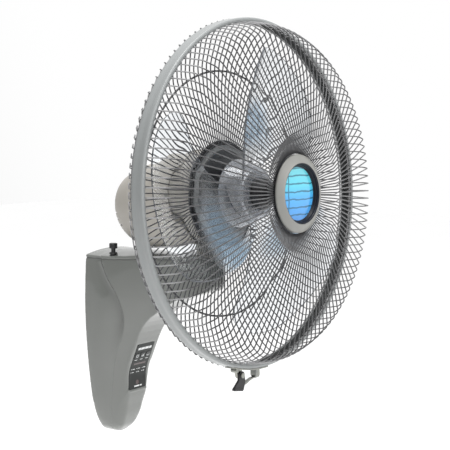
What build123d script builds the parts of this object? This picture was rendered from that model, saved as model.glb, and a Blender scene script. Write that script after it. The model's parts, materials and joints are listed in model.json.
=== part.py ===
from build123d import *
import math
import os

os.makedirs("parts", exist_ok=True)

# ----------------------------------------------------------------------------
# Wall mounted fan, millimetres.  +Z up, the wall is the plane Y = 0 and the
# fan blows towards -Y.  The origin is the centre of the four wall screws.
# ----------------------------------------------------------------------------

# head: guard centre and rest tilt
FAN_Y = -262.0            # guard centre in front of the wall
FAN_Z = 210.0             # guard centre above the wall screw centre
REST_TILT = 2.3           # degrees the head looks up at rest

# guard
BAND_R = 225.0            # outside radius of the guard band
BAND_HALF = 8.8           # half its axial width
WIRE_R = 0.85             # guard wire radius
WIRES = 120               # wires in each half of the guard

# fan
BLADE_TIP_R = 190.0
BLADE_T = 2.2
HUB_R = 34.0
SHAFT_R = 4.95

# neck
NECK_Y = -183.0           # swing axis, in front of the wall
PIVOT_DROP = 74.0         # tilt axis below the guard centre
NECK_R = 10.0

# swing drive
MODULE = 0.8
GEAR_TEETH = 36
PINION_TEETH = 12
DRIVE_CENTRES = MODULE * (GEAR_TEETH + PINION_TEETH) / 2.0
PINION_Y = NECK_Y + DRIVE_CENTRES

# wall plate
PLATE_W = 76.0
PLATE_H = 200.0
PLATE_T = 1.6
SCREW_DX = 52.0
SCREW_DZ = 156.0
SCREW_R = 2.75

WALL = 2.5                # moulded wall thickness


def up(z):
    """Height in the frame of a level given below or above the guard centre."""
    return z + FAN_Z


tilt = math.radians(REST_TILT)
HEAD = Plane(
    origin=(0, FAN_Y, FAN_Z),
    x_dir=(1, 0, 0),
    z_dir=(0, -math.cos(tilt), math.sin(tilt)),
)
# radius along x and fan axis along y of this plane
HEAD_RZ = Plane(
    origin=(0, FAN_Y, FAN_Z),
    x_dir=(1, 0, 0),
    z_dir=(0, -math.sin(tilt), -math.cos(tilt)),
)
FAN_AXIS = Axis((0, FAN_Y, FAN_Z), (0, -math.cos(tilt), math.sin(tilt)))
# tilt pivot in head coordinates
_py, _pz = NECK_Y - FAN_Y, -PIVOT_DROP
PIVOT_HY = _py * math.sin(tilt) + _pz * math.cos(tilt)
PIVOT_HZ = -_py * math.cos(tilt) + _pz * math.sin(tilt)


def finish(part, name):
    part.label = name
    export_step(part, f"parts/{name}.step")


# ----------------------------------------------------------------------------
# Bracket: outer form.  Horizontal sections are six-sided, wide at the wall and
# narrow at the front, and an arm with a round tip reaches forward at the top.
# ----------------------------------------------------------------------------
# (level, half width at wall, shoulder depth, half width at front, front depth)
STATIONS = [
    (-84, 50.0, 52, 22.5, 132),
    (-130, 53.5, 50, 22.5, 132),
    (-172, 54.0, 42, 20.5, 112),
    (-192, 53.5, 34, 19.5, 88),
    (-218, 51.5, 26, 19.3, 73),
    (-243, 49.5, 21, 19.2, 62),
    (-269, 46.5, 18, 19.0, 54),
    (-292, 43.0, 16, 18.8, 53),
    (-316, 38.8, 14, 17.4, 48),
    (-334, 32.2, 12, 15.8, 42),
    (-346, 25.0, 10, 13.8, 36.5),
    (-356.5, 15.0, 8, 11.0, 30),
]
SIDE = [
    (6, -84), (-208, -84), (-205.5, -112), (-197, -133), (-140, -150),
    (-84, -186), (-50.5, -262), (-50.8, -296), (-45.2, -326), (-35, -345),
    (-20, -356), (6, -356),
]
SIDE_R = [0.5, 1.0, 14, 16, 60, 90, 60, 40, 36, 24, 12, 0.5]


def bracket_form(t):
    """Outer form of the bracket moved inwards by t."""
    with BuildPart() as form:
        for z, w, ys, xf, yf in STATIONS:
            zz = up(z) - (0 if z > -300 else -t * 0.9)
            with BuildSketch(Plane.XY.offset(zz)):
                with BuildLine():
                    Polyline(
                        (-w + t, 4), (-w + t, -ys), (-xf + t, -yf),
                        (xf - t, -yf), (w - t, -ys), (w - t, 4), close=True,
                    )
                make_face()
        loft(ruled=True)
        with BuildSketch(Plane.XY.offset(up(-182))):
            with Locations((0, (NECK_Y - 60) / 2)):
                Rectangle(2 * (21.5 - t), -NECK_Y - 60)
            with Locations((0, NECK_Y)):
                Circle(22.0 - t)
        extrude(amount=100)
        with BuildSketch(Plane.YZ) as side:
            with BuildLine():
                FilletPolyline(*[(y, up(z)) for y, z in SIDE], radius=SIDE_R, close=True)
            make_face()
            if t:
                offset(amount=-t)
        extrude(amount=80, both=True, mode=Mode.INTERSECT)
        with BuildSketch(Plane.XZ):
            with BuildLine():
                a = Polyline((60, up(-95.6) - t), (60, up(-420)), (-60, up(-420)), (-60, up(-95.6) - t))
                ThreePointArc(a @ 1, (0, up(-87.0) - t), a @ 0)
            make_face()
        extrude(amount=300, both=True, mode=Mode.INTERSECT)
        # back face on the wall plane
        with BuildSketch(Plane.XZ):
            with Locations((0, up(-230))):
                Rectangle(200, 400)
        extrude(amount=300, mode=Mode.INTERSECT)
    return form.part


# parting line between the two housings, as (depth, level)
PARTING = [
    (-30, -78), (-30, -97), (-42, -122), (-57, -146), (-63, -172), (-58, -198),
    (-46, -225), (-37, -255), (-31, -290), (-25, -325), (-17, -350), (-10, -378),
]


def behind_parting(gap):
    with BuildPart() as region:
        with BuildSketch(Plane.YZ):
            with BuildLine():
                s = Spline(*[(y + gap, up(z)) for y, z in PARTING])
                Polyline(s @ 1, (20, up(-378)), (20, up(-78)), s @ 0)
            make_face()
        extrude(amount=90, both=True)
    return region.part


outer_form = bracket_form(0)
panel_form = bracket_form(1.2)
inner_form = bracket_form(WALL)
behind = behind_parting(0)

# housing screws run along Y from the back: (x, level, boss length)
SCREWS = [(-30, -96.5, 62), (30, -96.5, 62), (-12, -322, 46), (12, -322, 46)]
BACK_OUT, BACK_IN = -1.8, -4.3      # the back wall of the rear housing

# release plunger on top of the bracket
KNOB_X, KNOB_Y = -42.0, -46.0

# key plane on the front face of the bracket
KEY = Plane(
    origin=(0, -61.1, up(-238)), x_dir=(1, 0, 0),
    z_dir=(0, -0.915, -0.403),
)
KEYS_X = (-11.0, 0.0, 11.0)
KEY_W = 8.0

with BuildPart() as cavity:
    add(inner_form)
    with BuildSketch(Plane.XZ.offset(-BACK_IN)):
        with Locations((0, up(-230))):
            Rectangle(200, 400)
    extrude(amount=300, mode=Mode.INTERSECT)
cavity_form = cavity.part
shell_part = outer_form - cavity_form

with BuildPart() as boss_set:
    for x, z, length in SCREWS:
        with BuildSketch(Plane.XZ.offset(-BACK_OUT)):
            with Locations((x, up(z))):
                Circle(4.6)
        extrude(amount=length)
bosses = boss_set.part & outer_form

# ---- rear housing -----------------------------------------------------------
with BuildPart() as rear_housing:
    add(shell_part & behind)
    add(bosses & behind)
    # pocket for the wall plate
    with BuildSketch(Plane.XZ):
        RectangleRounded(PLATE_W + 1.0, PLATE_H + 1.0, 6)
    extrude(amount=-BACK_OUT, mode=Mode.SUBTRACT)
    # cable window and hook slots in the back wall
    with BuildSketch(Plane.XZ.offset(1.0)):
        with Locations((0, 8)):
            RectangleRounded(34, 46, 4)
        with Locations((-20, 66), (20, 66)):
            RectangleRounded(11, 15, 1)
    extrude(amount=6, mode=Mode.SUBTRACT)
    # screw holes with sunk heads
    for x, z, length in SCREWS:
        with BuildSketch(Plane.XZ.offset(-BACK_OUT - 0.5)):
            with Locations((x, up(z))):
                Circle(3.9)
        extrude(amount=3.6, mode=Mode.SUBTRACT)
        with BuildSketch(Plane.XZ):
            with Locations((x, up(z))):
                Circle(2.05)
        extrude(amount=70, mode=Mode.SUBTRACT)
    # catch shelf that the release plunger drops into
    with BuildSketch(Plane.XY.offset(up(-112))):
        with Locations((KNOB_X + 1, (KNOB_Y - 6 + BACK_IN) / 2)):
            Rectangle(11, BACK_IN - (KNOB_Y - 6))
        with Locations((KNOB_X, KNOB_Y)):
            Circle(3.3, mode=Mode.SUBTRACT)
    extrude(amount=3)
    # posts for the power board
    for x, z in ((-24, -205), (24, -205), (-24, -262), (24, -262)):
        with BuildSketch(Plane.XZ.offset(-BACK_IN - 0.5)):
            with Locations((x, up(z))):
                Circle(3.0)
        extrude(amount=5.5)
    # seat for the cord grommet on the far side
    with BuildSketch(Plane.YZ.offset(34)):
        with Locations((-12, up(-300))):
            Circle(8.5)
    extrude(amount=8.2)
    with BuildSketch(Plane.YZ.offset(30)):
        with Locations((-12, up(-300))):
            Circle(5.5)
    extrude(amount=20, mode=Mode.SUBTRACT)
rear_housing_part = rear_housing.part & outer_form
with BuildPart() as rear_housing_out:
    add(rear_housing_part)
finish(rear_housing_out.part, "rear_housing")

# ---- front housing with the arm ---------------------------------------------
BUSH_R = 13.0
with BuildPart() as front_housing:
    add(shell_part - behind)
    add(bosses - behind)
    # boss for the neck bush under the arm top
    with BuildSketch(Plane.XY.offset(up(-104))):
        with Locations((0, NECK_Y)):
            Circle(16.0)
    extrude(amount=15)
    with BuildSketch(Plane.XY.offset(up(-106))):
        with Locations((0, NECK_Y)):
            Circle(BUSH_R)
    extrude(amount=30, mode=Mode.SUBTRACT)
    # posts for the swing motor
    for x in (-15.8, 15.8):
        with BuildSketch(Plane.XY.offset(up(-114))):
            with Locations((x, PINION_Y)):
                Circle(2.8)
        extrude(amount=25.5)
        with BuildSketch(Plane.XY.offset(up(-114))):
            with Locations((x, PINION_Y)):
                Circle(1.5)
        extrude(amount=12, mode=Mode.SUBTRACT)
    # screw pilot holes
    for x, z, length in SCREWS:
        with BuildSketch(Plane.XZ):
            with Locations((x, up(z))):
                Circle(2.05)
        extrude(amount=length - 5, mode=Mode.SUBTRACT)
    # release plunger guide hole
    with BuildSketch(Plane.XY.offset(up(-104))):
        with Locations((KNOB_X, KNOB_Y)):
            Circle(4.4)
    extrude(amount=30, mode=Mode.SUBTRACT)
    # board posts behind the panel
    with BuildSketch(KEY.offset(-10)):
        with Locations((-12.5, 9), (12.5, 9), (-12.5, -30), (12.5, -30)):
            Circle(2.0)
    extrude(amount=14)
    # openings for keys, lamp strip and receiver window
    with BuildSketch(KEY.offset(-6)):
        with Locations(*[(x, 0) for x in KEYS_X]):
            Rectangle(KEY_W + 0.6, KEY_W + 0.6)
        with Locations((0, -14)):
            Rectangle(24.2, 3.2)
    extrude(amount=12, mode=Mode.SUBTRACT)
    with BuildSketch(Plane.XZ.offset(40)):
        with Locations((0, up(-279))):
            Circle(3.4)
    extrude(amount=20, mode=Mode.SUBTRACT)

# the panel lies in a shallow recess of the front face
with BuildPart() as panel_zone:
    with BuildSketch(Plane.XZ.offset(40)):
        with Locations((0, up(-254))):
            RectangleRounded(35.0, 68.0, 3)
    extrude(amount=50)
panel_skin = (outer_form - panel_form) & panel_zone.part
front_housing_part = (front_housing.part & outer_form) - panel_skin
with BuildPart() as front_housing_out:
    add(front_housing_part)
finish(front_housing_out.part, "front_housing")

# ---- control panel -----------------------------------------------------------
with BuildPart() as control_panel:
    add(panel_skin)
    with BuildSketch(KEY.offset(-6)):
        with Locations(*[(x, 0) for x in KEYS_X]):
            Rectangle(KEY_W + 0.6, KEY_W + 0.6)
        with Locations((0, -14)):
            Rectangle(24.2, 3.2)
    extrude(amount=12, mode=Mode.SUBTRACT)
    with BuildSketch(Plane.XZ.offset(40)):
        with Locations((0, up(-279))):
            Circle(3.4)
    extrude(amount=20, mode=Mode.SUBTRACT)
finish(control_panel.part, "control_panel")

# keys: cap, and a flange behind the wall
for name, x in zip(("power_button", "speed_button", "swing_button"), KEYS_X):
    with BuildPart() as key:
        with BuildSketch(KEY.offset(-3.0)):
            with Locations((x, 0)):
                RectangleRounded(KEY_W, KEY_W, 0.8)
        extrude(amount=3.6)
        with BuildSketch(KEY.offset(-3.6)):
            with Locations((x, 0)):
                Rectangle(KEY_W + 2.2, KEY_W + 3.4)
        extrude(amount=1.0)
    finish(key.part, name)

with BuildPart() as lamp_strip:
    with BuildSketch(KEY.offset(-3.0)):
        with Locations((0, -14)):
            Rectangle(24.0, 3.0)
    extrude(amount=3.0)
finish(lamp_strip.part, "lamp_strip")

with BuildPart() as receiver_window:
    with BuildSketch(Plane.XZ.offset(46.5)):
        with Locations((0, up(-279))):
            Circle(3.3)
    extrude(amount=3.9)
finish(receiver_window.part, "receiver_window")

with BuildPart() as control_board:
    with BuildSketch(KEY.offset(-11.6)):
        with Locations((0, -12)):
            Rectangle(29, 50)
    extrude(amount=1.6)
finish(control_board.part, "control_board")

with BuildPart() as key_switches:
    for x in KEYS_X:
        with BuildSketch(KEY.offset(-10)):
            with Locations((x, 0)):
                Rectangle(6, 6)
        extrude(amount=3.5)
        with BuildSketch(KEY.offset(-6.5)):
            with Locations((x, 0)):
                Circle(1.6)
        extrude(amount=1.85)
finish(key_switches.part, "key_switches")

with BuildPart() as housing_screws:
    for x, z, length in SCREWS:
        with BuildSketch(Plane.XZ.offset(-BACK_OUT + 0.6)):
            with Locations((x, up(z))):
                Circle(3.7)
        extrude(amount=2.5)
        with BuildSketch(Plane.XZ.offset(-BACK_OUT + 3.1)):
            with Locations((x, up(z))):
                Circle(2.0)
        extrude(amount=length - 12)
finish(housing_screws.part, "housing_screws")

# ---- wall plate with hooks -----------------------------------------------------
with BuildPart() as wall_plate:
    with BuildSketch(Plane.XZ):
        RectangleRounded(PLATE_W, PLATE_H, 6)
        with GridLocations(SCREW_DX, SCREW_DZ, 2, 2):
            Circle(SCREW_R, mode=Mode.SUBTRACT)
        with Locations((0, 8)):
            RectangleRounded(30, 42, 4, mode=Mode.SUBTRACT)
    extrude(amount=PLATE_T)
    for x in (-20, 20):
        with BuildSketch(Plane.YZ.offset(x - 4)):
            with BuildLine():
                Polyline((-PLATE_T, 60.6), (-6.2, 60.6), (-6.2, 72), (-4.6, 72), (-4.6, 62.2), (-PLATE_T, 62.2), close=True)
            make_face()
        extrude(amount=8)
finish(wall_plate.part, "wall_plate")

# ---- power supply ---------------------------------------------------------------
with BuildPart() as power_board:
    with BuildSketch(Plane.XZ.offset(9.3)):
        with Locations((0, up(-233.5))):
            Rectangle(56, 66)
    extrude(amount=1.6)
finish(power_board.part, "power_board")

with BuildPart() as transformer:
    with BuildSketch(Plane.XZ.offset(10.9)):
        with Locations((-12, up(-222))):
            Rectangle(26, 30)
    extrude(amount=20)
    chamfer(transformer.edges().filter_by(Axis.Y), 1.5)
finish(transformer.part, "transformer")

with BuildPart() as terminal_block:
    with BuildSketch(Plane.XZ.offset(10.9)):
        with Locations((14, up(-252))):
            Rectangle(20, 12)
    extrude(amount=10)
    with BuildSketch(Plane.XZ.offset(20.9)):
        with Locations((9, up(-252)), (14, up(-252)), (19, up(-252))):
            Circle(1.5)
    extrude(amount=-3, mode=Mode.SUBTRACT)
finish(terminal_block.part, "terminal_block")

# ---- cord grommet: inlet in the far side of the rear housing ----------------------
with BuildPart() as cord_grommet:
    with BuildSketch(Plane.YZ.offset(33)):
        with Locations((-12, up(-300))):
            Circle(5.45)
    extrude(amount=10.5)
    with BuildSketch(Plane.YZ.offset(31.5)):
        with Locations((-12, up(-300))):
            Circle(7.0)
    extrude(amount=2.4)
    with BuildSketch(Plane.YZ.offset(42.9)):
        with Locations((-12, up(-300))):
            Circle(7.0)
    extrude(amount=2.0)
    with BuildSketch(Plane.YZ.offset(25)):
        with Locations((-12, up(-300))):
            Circle(3.6)
    extrude(amount=30, mode=Mode.SUBTRACT)
finish(cord_grommet.part, "cord_grommet")

# ---- release plunger: pushed down against its spring ------------------------------
with BuildPart() as plunger_bush:
    with BuildSketch(Plane.XY.offset(up(-95))):
        with Locations((KNOB_X, KNOB_Y)):
            Circle(4.33)
    extrude(amount=5.6)
    with BuildSketch(Plane.XY.offset(up(-89.5))):
        with Locations((KNOB_X, KNOB_Y)):
            Circle(6.0)
    extrude(amount=2.0, taper=25)
    with BuildSketch(Plane.XY.offset(up(-100))):
        with Locations((KNOB_X, KNOB_Y)):
            Circle(3.05)
    extrude(amount=30, mode=Mode.SUBTRACT)
finish(plunger_bush.part, "plunger_bush")

with BuildPart() as release_knob:
    with BuildSketch(Plane.XY.offset(up(-117))):
        with Locations((KNOB_X, KNOB_Y)):
            Circle(3.0)
    extrude(amount=36.5)
    with BuildSketch(Plane.XY.offset(up(-100.2))):
        with Locations((KNOB_X, KNOB_Y)):
            Circle(4.2)
    extrude(amount=1.5)
    with BuildSketch(Plane.XY.offset(up(-82.0))):
        with Locations((KNOB_X, KNOB_Y)):
            Circle(5.7)
    extrude(amount=7.0)
    chamfer(release_knob.faces().sort_by(Axis.Z)[-1].edges(), 0.7)
finish(release_knob.part, "release_knob")

SPRING_Z0, SPRING_Z1, SPRING_R, SPRING_WIRE = -108.6, -100.6, 3.9, 0.3
with BuildPart() as plunger_spring:
    with BuildLine() as coil:
        Helix(
            pitch=(SPRING_Z1 - SPRING_Z0) / 5, height=SPRING_Z1 - SPRING_Z0, radius=SPRING_R,
            center=(KNOB_X, KNOB_Y, up(SPRING_Z0)),
        )
    with BuildSketch(Plane(origin=coil.line @ 0, z_dir=coil.line % 0)):
        Circle(SPRING_WIRE)
    sweep()
finish(plunger_spring.part, "plunger_spring")


# ----------------------------------------------------------------------------
# Swing drive in the arm
# ----------------------------------------------------------------------------
def gear_points(teeth, phase_deg, addendum, dedendum, backlash):
    """Involute tooth outline, 20 degree pressure angle."""
    rp = MODULE * teeth / 2
    rb = rp * math.cos(math.radians(20))
    ra, rf = rp + addendum * MODULE, rp - dedendum * MODULE

    def inv(a):
        return math.tan(a) - a

    def half(r):
        a = math.acos(min(1.0, rb / r)) if r > rb else 0.0
        return math.pi / (2 * teeth) + inv(math.radians(20)) - inv(a) - backlash / (2 * rp)

    radii = [max(rb, rf) + (ra - max(rb, rf)) * i / 5 for i in range(6)]
    pts = []
    for k in range(teeth):
        c = math.radians(phase_deg) + 2 * math.pi * k / teeth
        left, right = [], []
        for r in radii:
            h = half(r)
            left.append((r * math.cos(c - h), r * math.sin(c - h)))
            right.append((r * math.cos(c + h), r * math.sin(c + h)))
        hb = half(radii[0])
        if rf < radii[0]:
            left.insert(0, (rf * math.cos(c - hb), rf * math.sin(c - hb)))
            right.insert(0, (rf * math.cos(c + hb), rf * math.sin(c + hb)))
        pts += left + right[::-1]
    return pts


with BuildPart() as swing_gear:
    with BuildSketch(Plane.XY.offset(up(-111.5))):
        with BuildLine():
            Polyline(*[(x, y + NECK_Y) for x, y in gear_points(GEAR_TEETH, 90, 0.8, 1.15, 0.12)], close=True)
        make_face()
        with Locations((0, NECK_Y)):
            Circle(NECK_R, mode=Mode.SUBTRACT)
    extrude(amount=5.5)
finish(swing_gear.part, "swing_gear")

with BuildPart() as swing_pinion:
    with BuildSketch(Plane.XY.offset(up(-112))):
        with BuildLine():
            Polyline(*[(x, y + PINION_Y) for x, y in gear_points(PINION_TEETH, 15, 0.8, 1.15, 0.12)], close=True)
        make_face()
    extrude(amount=6.5)
    with BuildSketch(Plane.XY.offset(up(-122))):
        with Locations((0, PINION_Y)):
            Circle(1.95)
    extrude(amount=12)
finish(swing_pinion.part, "swing_pinion")

with BuildPart() as swing_motor:
    with BuildSketch(Plane.XY.offset(up(-132))):
        with Locations((0, PINION_Y)):
            Circle(12.5)
    extrude(amount=17)
    fillet(swing_motor.faces().sort_by(Axis.Z)[0].edges(), 1.0)
    with BuildSketch(Plane.XY.offset(up(-115))):
        with Locations((0, PINION_Y)):
            SlotOverall(37.0, 6.2)
        with Locations((-15.8, PINION_Y), (15.8, PINION_Y)):
            Circle(1.55, mode=Mode.SUBTRACT)
    extrude(amount=1.0)
    with BuildSketch(Plane.XY.offset(up(-114))):
        with Locations((0, PINION_Y)):
            Circle(4.0)
    extrude(amount=1.3)
    with BuildSketch(Plane.XY.offset(up(-124))):
        with Locations((0, PINION_Y)):
            Circle(2.0)
    extrude(amount=14, mode=Mode.SUBTRACT)
finish(swing_motor.part, "swing_motor")

with BuildPart() as swing_motor_screws:
    for x in (-15.8, 15.8):
        with BuildSketch(Plane.XY.offset(up(-117))):
            with Locations((x, PINION_Y)):
                Circle(2.7)
        extrude(amount=2.0)
        with BuildSketch(Plane.XY.offset(up(-115))):
            with Locations((x, PINION_Y)):
                Circle(1.45)
        extrude(amount=8.0)
finish(swing_motor_screws.part, "swing_motor_screws")

with BuildPart() as neck_bush:
    with BuildSketch(Plane.XY.offset(up(-104))):
        with Locations((0, NECK_Y)):
            Circle(BUSH_R)
            Circle(NECK_R + 0.06, mode=Mode.SUBTRACT)
    extrude(amount=17.55)
finish(neck_bush.part, "neck_bush")

# ---- neck: turning post and tilt yoke ----------------------------------------------
EAR_IN, EAR_OUT, EAR_R = 12.0, 17.0, 8.5
PIVOT_R = 4.0
with BuildPart() as neck:
    with BuildSketch(Plane.XY.offset(up(-112))):
        with Locations((0, NECK_Y)):
            Circle(NECK_R)
    extrude(amount=26)
    with BuildSketch(Plane.XY.offset(up(-86.4))):
        with Locations((0, NECK_Y)):
            Circle(19.0)
    extrude(amount=3.2)
    chamfer(neck.edges().filter_by(GeomType.CIRCLE).filter_by(lambda e: abs(e.radius - 19.0) < 0.01).sort_by(Axis.Z)[-1], 1.0)
    for x0 in (-EAR_OUT, EAR_IN):
        with BuildSketch(Plane.YZ.offset(x0)):
            with Locations((NECK_Y, up(-PIVOT_DROP))):
                Circle(EAR_R)
            with Locations((NECK_Y, up(-PIVOT_DROP) - 5)):
                Rectangle(2 * EAR_R, 10)
        extrude(amount=EAR_OUT - EAR_IN)
    with BuildSketch(Plane.YZ.offset(-30)):
        with Locations((NECK_Y, up(-PIVOT_DROP))):
            Circle(PIVOT_R)
    extrude(amount=60, mode=Mode.SUBTRACT)
    with BuildSketch(Plane.XY.offset(up(-112))):
        with Locations((0, NECK_Y)):
            Circle(3.0)
    extrude(amount=16, mode=Mode.SUBTRACT)
finish(neck.part, "neck")

with BuildPart() as neck_screw:
    with BuildSketch(Plane.XY.offset(up(-114.2))):
        with Locations((0, NECK_Y)):
            Circle(12.0)
    extrude(amount=2.0)
    with BuildSketch(Plane.XY.offset(up(-117.7))):
        with Locations((0, NECK_Y)):
            Circle(5.0)
    extrude(amount=3.5)
    with BuildSketch(Plane.XY.offset(up(-112.2))):
        with Locations((0, NECK_Y)):
            Circle(2.95)
    extrude(amount=14)
finish(neck_screw.part, "neck_screw")

with BuildPart() as tilt_bolt:
    with BuildSketch(Plane.YZ.offset(-19.0)):
        with Locations((NECK_Y, up(-PIVOT_DROP))):
            Circle(PIVOT_R)
    extrude(amount=40)
    with BuildSketch(Plane.YZ.offset(-20.5)):
        with Locations((NECK_Y, up(-PIVOT_DROP))):
            Circle(6.5)
    extrude(amount=3.4)
finish(tilt_bolt.part, "tilt_bolt")

with BuildPart() as tilt_nut:
    with BuildSketch(Plane.YZ.offset(17.2)):
        with Locations((NECK_Y, up(-PIVOT_DROP))):
            RegularPolygon(6.6, 6)
            Circle(PIVOT_R, mode=Mode.SUBTRACT)
    extrude(amount=4.4)
finish(tilt_nut.part, "tilt_nut")

# ----------------------------------------------------------------------------
# Motor.  Head coordinates: x across, y up, z forward from the guard centre.
# ----------------------------------------------------------------------------
FACE_Z = -53.3
JOIN_Z = -92.0

with BuildPart() as motor_front_bracket:
    with BuildSketch(HEAD_RZ):
        with BuildLine():
            Polyline(
                (5.6, -55.3), (5.6, -42.0), (24.0, -42.0), (24.0, FACE_Z), (52.0, FACE_Z),
                (58.5, FACE_Z - 7), (58.5, JOIN_Z), (54.0, JOIN_Z), (54.0, FACE_Z - 6.5),
                (51.0, FACE_Z - 3.5), (17.0, FACE_Z - 3.5), (17.0, -66.5), (11.0, -66.5),
                (11.0, -55.3), close=True,
            )
        make_face()
    revolve(axis=FAN_AXIS)
    # cooling slots in the front face
    with BuildSketch(HEAD.offset(-60)):
        with PolarLocations(40, 12):
            SlotOverall(16, 5)
    extrude(amount=10, mode=Mode.SUBTRACT)
    # tilt lug under the bracket
    with BuildSketch(Plane.YZ.offset(-11.4)):
        with Locations((NECK_Y, up(-PIVOT_DROP))):
            Circle(7.6)
        with Locations((NECK_Y, up(-PIVOT_DROP) + 9.2)):
            Rectangle(15.2, 18.4)
    extrude(amount=22.8)
    with BuildSketch(HEAD.offset(-91.9)):
        Circle(54.0)
    extrude(amount=34.9, mode=Mode.SUBTRACT)
    with BuildSketch(HEAD_RZ):
        with BuildLine():
            Polyline(
                (5.6, -55.3), (5.6, -53.0), (50.0, -53.8), (50.0, FACE_Z - 3.5), (17.0, FACE_Z - 3.5),
                (17.0, -66.5), (11.0, -66.5), (11.0, -55.3), close=True,
            )
        make_face()
    revolve(axis=FAN_AXIS)
    with BuildSketch(HEAD.offset(-60)):
        with PolarLocations(40, 12):
            SlotOverall(16, 5)
    extrude(amount=10, mode=Mode.SUBTRACT)
    with BuildSketch(Plane.YZ.offset(-30)):
        with Locations((NECK_Y, up(-PIVOT_DROP))):
            Circle(PIVOT_R + 0.05)
    extrude(amount=60, mode=Mode.SUBTRACT)
finish(motor_front_bracket.part, "motor_front_bracket")

with BuildPart() as front_bearing:
    with BuildSketch(HEAD.offset(-65)):
        Circle(10.98)
        Circle(5.0, mode=Mode.SUBTRACT)
    extrude(amount=8.5)
finish(front_bearing.part, "front_bearing")

with BuildPart() as stator_core:
    with BuildSketch(HEAD.offset(-91.5)):
        Circle(53.9)
        Circle(28.2, mode=Mode.SUBTRACT)
        with PolarLocations(38, 12):
            SlotOverall(14, 5, mode=Mode.SUBTRACT)
    extrude(amount=20)
finish(stator_core.part, "stator_core")

with BuildPart() as stator_windings:
    for z0, h in ((-71.4, 8.5), (-101.5, 9.9)):
        with BuildSketch(HEAD.offset(z0)):
            Circle(47)
            Circle(31, mode=Mode.SUBTRACT)
        extrude(amount=h)
    fillet(stator_windings.edges().filter_by(GeomType.CIRCLE), 1.8)
finish(stator_windings.part, "stator_windings")

with BuildPart() as motor_rear_bracket:
    with BuildSketch(HEAD_RZ):
        with BuildLine():
            Polyline(
                (55.0, JOIN_Z - 0.05), (54.5, -100), (49.5, -114), (44.0, -119), (16.0, -119),
                (16.0, -121), (7.0, -121), (7.0, -119.0), (11.0, -119.0), (11.0, -110.5), (14.5, -110.5), (14.5, -115.8),
                (42.5, -115.8), (46.5, -112), (51.2, -99), (51.6, JOIN_Z - 0.05), close=True,
            )
        make_face()
    revolve(axis=FAN_AXIS)
    with BuildSketch(HEAD.offset(-123)):
        with PolarLocations(30, 10):
            SlotOverall(14, 5)
    extrude(amount=10, mode=Mode.SUBTRACT)
    # pilot holes for the side screws
    with BuildSketch(Plane(origin=HEAD.from_local_coords((-70, 0, -97)), x_dir=HEAD.y_dir, z_dir=(1, 0, 0))):
        Circle(1.8)
    extrude(amount=140, mode=Mode.SUBTRACT)
finish(motor_rear_bracket.part, "motor_rear_bracket")

with BuildPart() as rear_bearing:
    with BuildSketch(HEAD.offset(-118.9)):
        Circle(10.98)
        Circle(5.0, mode=Mode.SUBTRACT)
    extrude(amount=8.3)
finish(rear_bearing.part, "rear_bearing")

# ---- motor cover: egg shaped shell with a deeper belly, louvred tail --------------------
# (axial station, top, bottom, half width)
COVER = [
    (-92.2, 60.0, -63.5, 61.0),
    (-118, 57.0, -68.0, 60.0),
    (-145, 50.5, -71.8, 57.0),
    (-170, 44.0, -73.8, 53.0),
    (-190, 38.5, -71.5, 48.3),
    (-207, 32.0, -65.2, 42.0),
    (-220, 25.0, -56.0, 34.2),
    (-229, 16.5, -44.5, 24.5),
    (-233.5, 7.0, -31.5, 14.5),
]


def cover_form(t):
    with BuildPart() as form:
        for z, top, bottom, half in COVER:
            zz = z + (t * 1.15 if z < -100 else -0.01 * t)
            with BuildSketch(HEAD.offset(zz)):
                with Locations((0, (top + bottom) / 2)):
                    Ellipse(half - t, (top - bottom) / 2 - t)
        loft()
    return form.part


cover_out = cover_form(0)
cover_in = cover_form(2.4)
with BuildPart() as motor_cover:
    add(cover_out - cover_in)
    # open front
    with BuildSketch(HEAD.offset(JOIN_Z - 6)):
        with Locations((0, -1.8)):
            Ellipse(58.4, 59.2)
    extrude(amount=20, mode=Mode.SUBTRACT)
    # horizontal louvres across the lower tail
    for y in (-24, -32.4, -40.8, -49.2):
        with BuildSketch(HEAD.offset(-250)):
            with Locations((0, y)):
                Rectangle(2 * (38 if y > -45 else 30), 1.8)
        extrude(amount=50, mode=Mode.SUBTRACT)
    # side screw holes
    with BuildSketch(Plane(origin=HEAD.from_local_coords((-70, 0, -97)), x_dir=HEAD.y_dir, z_dir=(1, 0, 0))):
        Circle(2.1)
    extrude(amount=140, mode=Mode.SUBTRACT)
finish(motor_cover.part, "motor_cover")

with BuildPart() as cover_screws:
    for sx in (-1, 1):
        with BuildSketch(Plane(origin=HEAD.from_local_coords((sx * 50.5, 0, -97)), x_dir=HEAD.y_dir, z_dir=(sx, 0, 0))):
            Circle(1.75)
        extrude(amount=10.6)
        with BuildSketch(Plane(origin=HEAD.from_local_coords((sx * 61.1, 0, -97)), x_dir=HEAD.y_dir, z_dir=(sx, 0, 0))):
            Circle(3.6)
        extrude(amount=1.8)
finish(cover_screws.part, "cover_screws")

with BuildPart() as motor_capacitor:
    with BuildSketch(HEAD.offset(-149)):
        with Locations((0, -31)):
            RectangleRounded(44, 26, 3)
    extrude(amount=29.95)
finish(motor_capacitor.part, "motor_capacitor")

# ---- shaft and rotor --------------------------------------------------------------------
with BuildPart() as shaft:
    with BuildSketch(HEAD.offset(-119.5)):
        Circle(SHAFT_R)
    extrude(amount=139.0)
    with BuildSketch(Plane(origin=HEAD.from_local_coords((-20, 0, -26)), x_dir=HEAD.y_dir, z_dir=(1, 0, 0))):
        Circle(1.5)
    extrude(amount=40, mode=Mode.SUBTRACT)
finish(shaft.part, "shaft")

with BuildPart() as drive_pin:
    with BuildSketch(Plane(origin=HEAD.from_local_coords((-10.5, 0, -26)), x_dir=HEAD.y_dir, z_dir=(1, 0, 0))):
        Circle(1.5)
    extrude(amount=21)
finish(drive_pin.part, "drive_pin")

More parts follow.
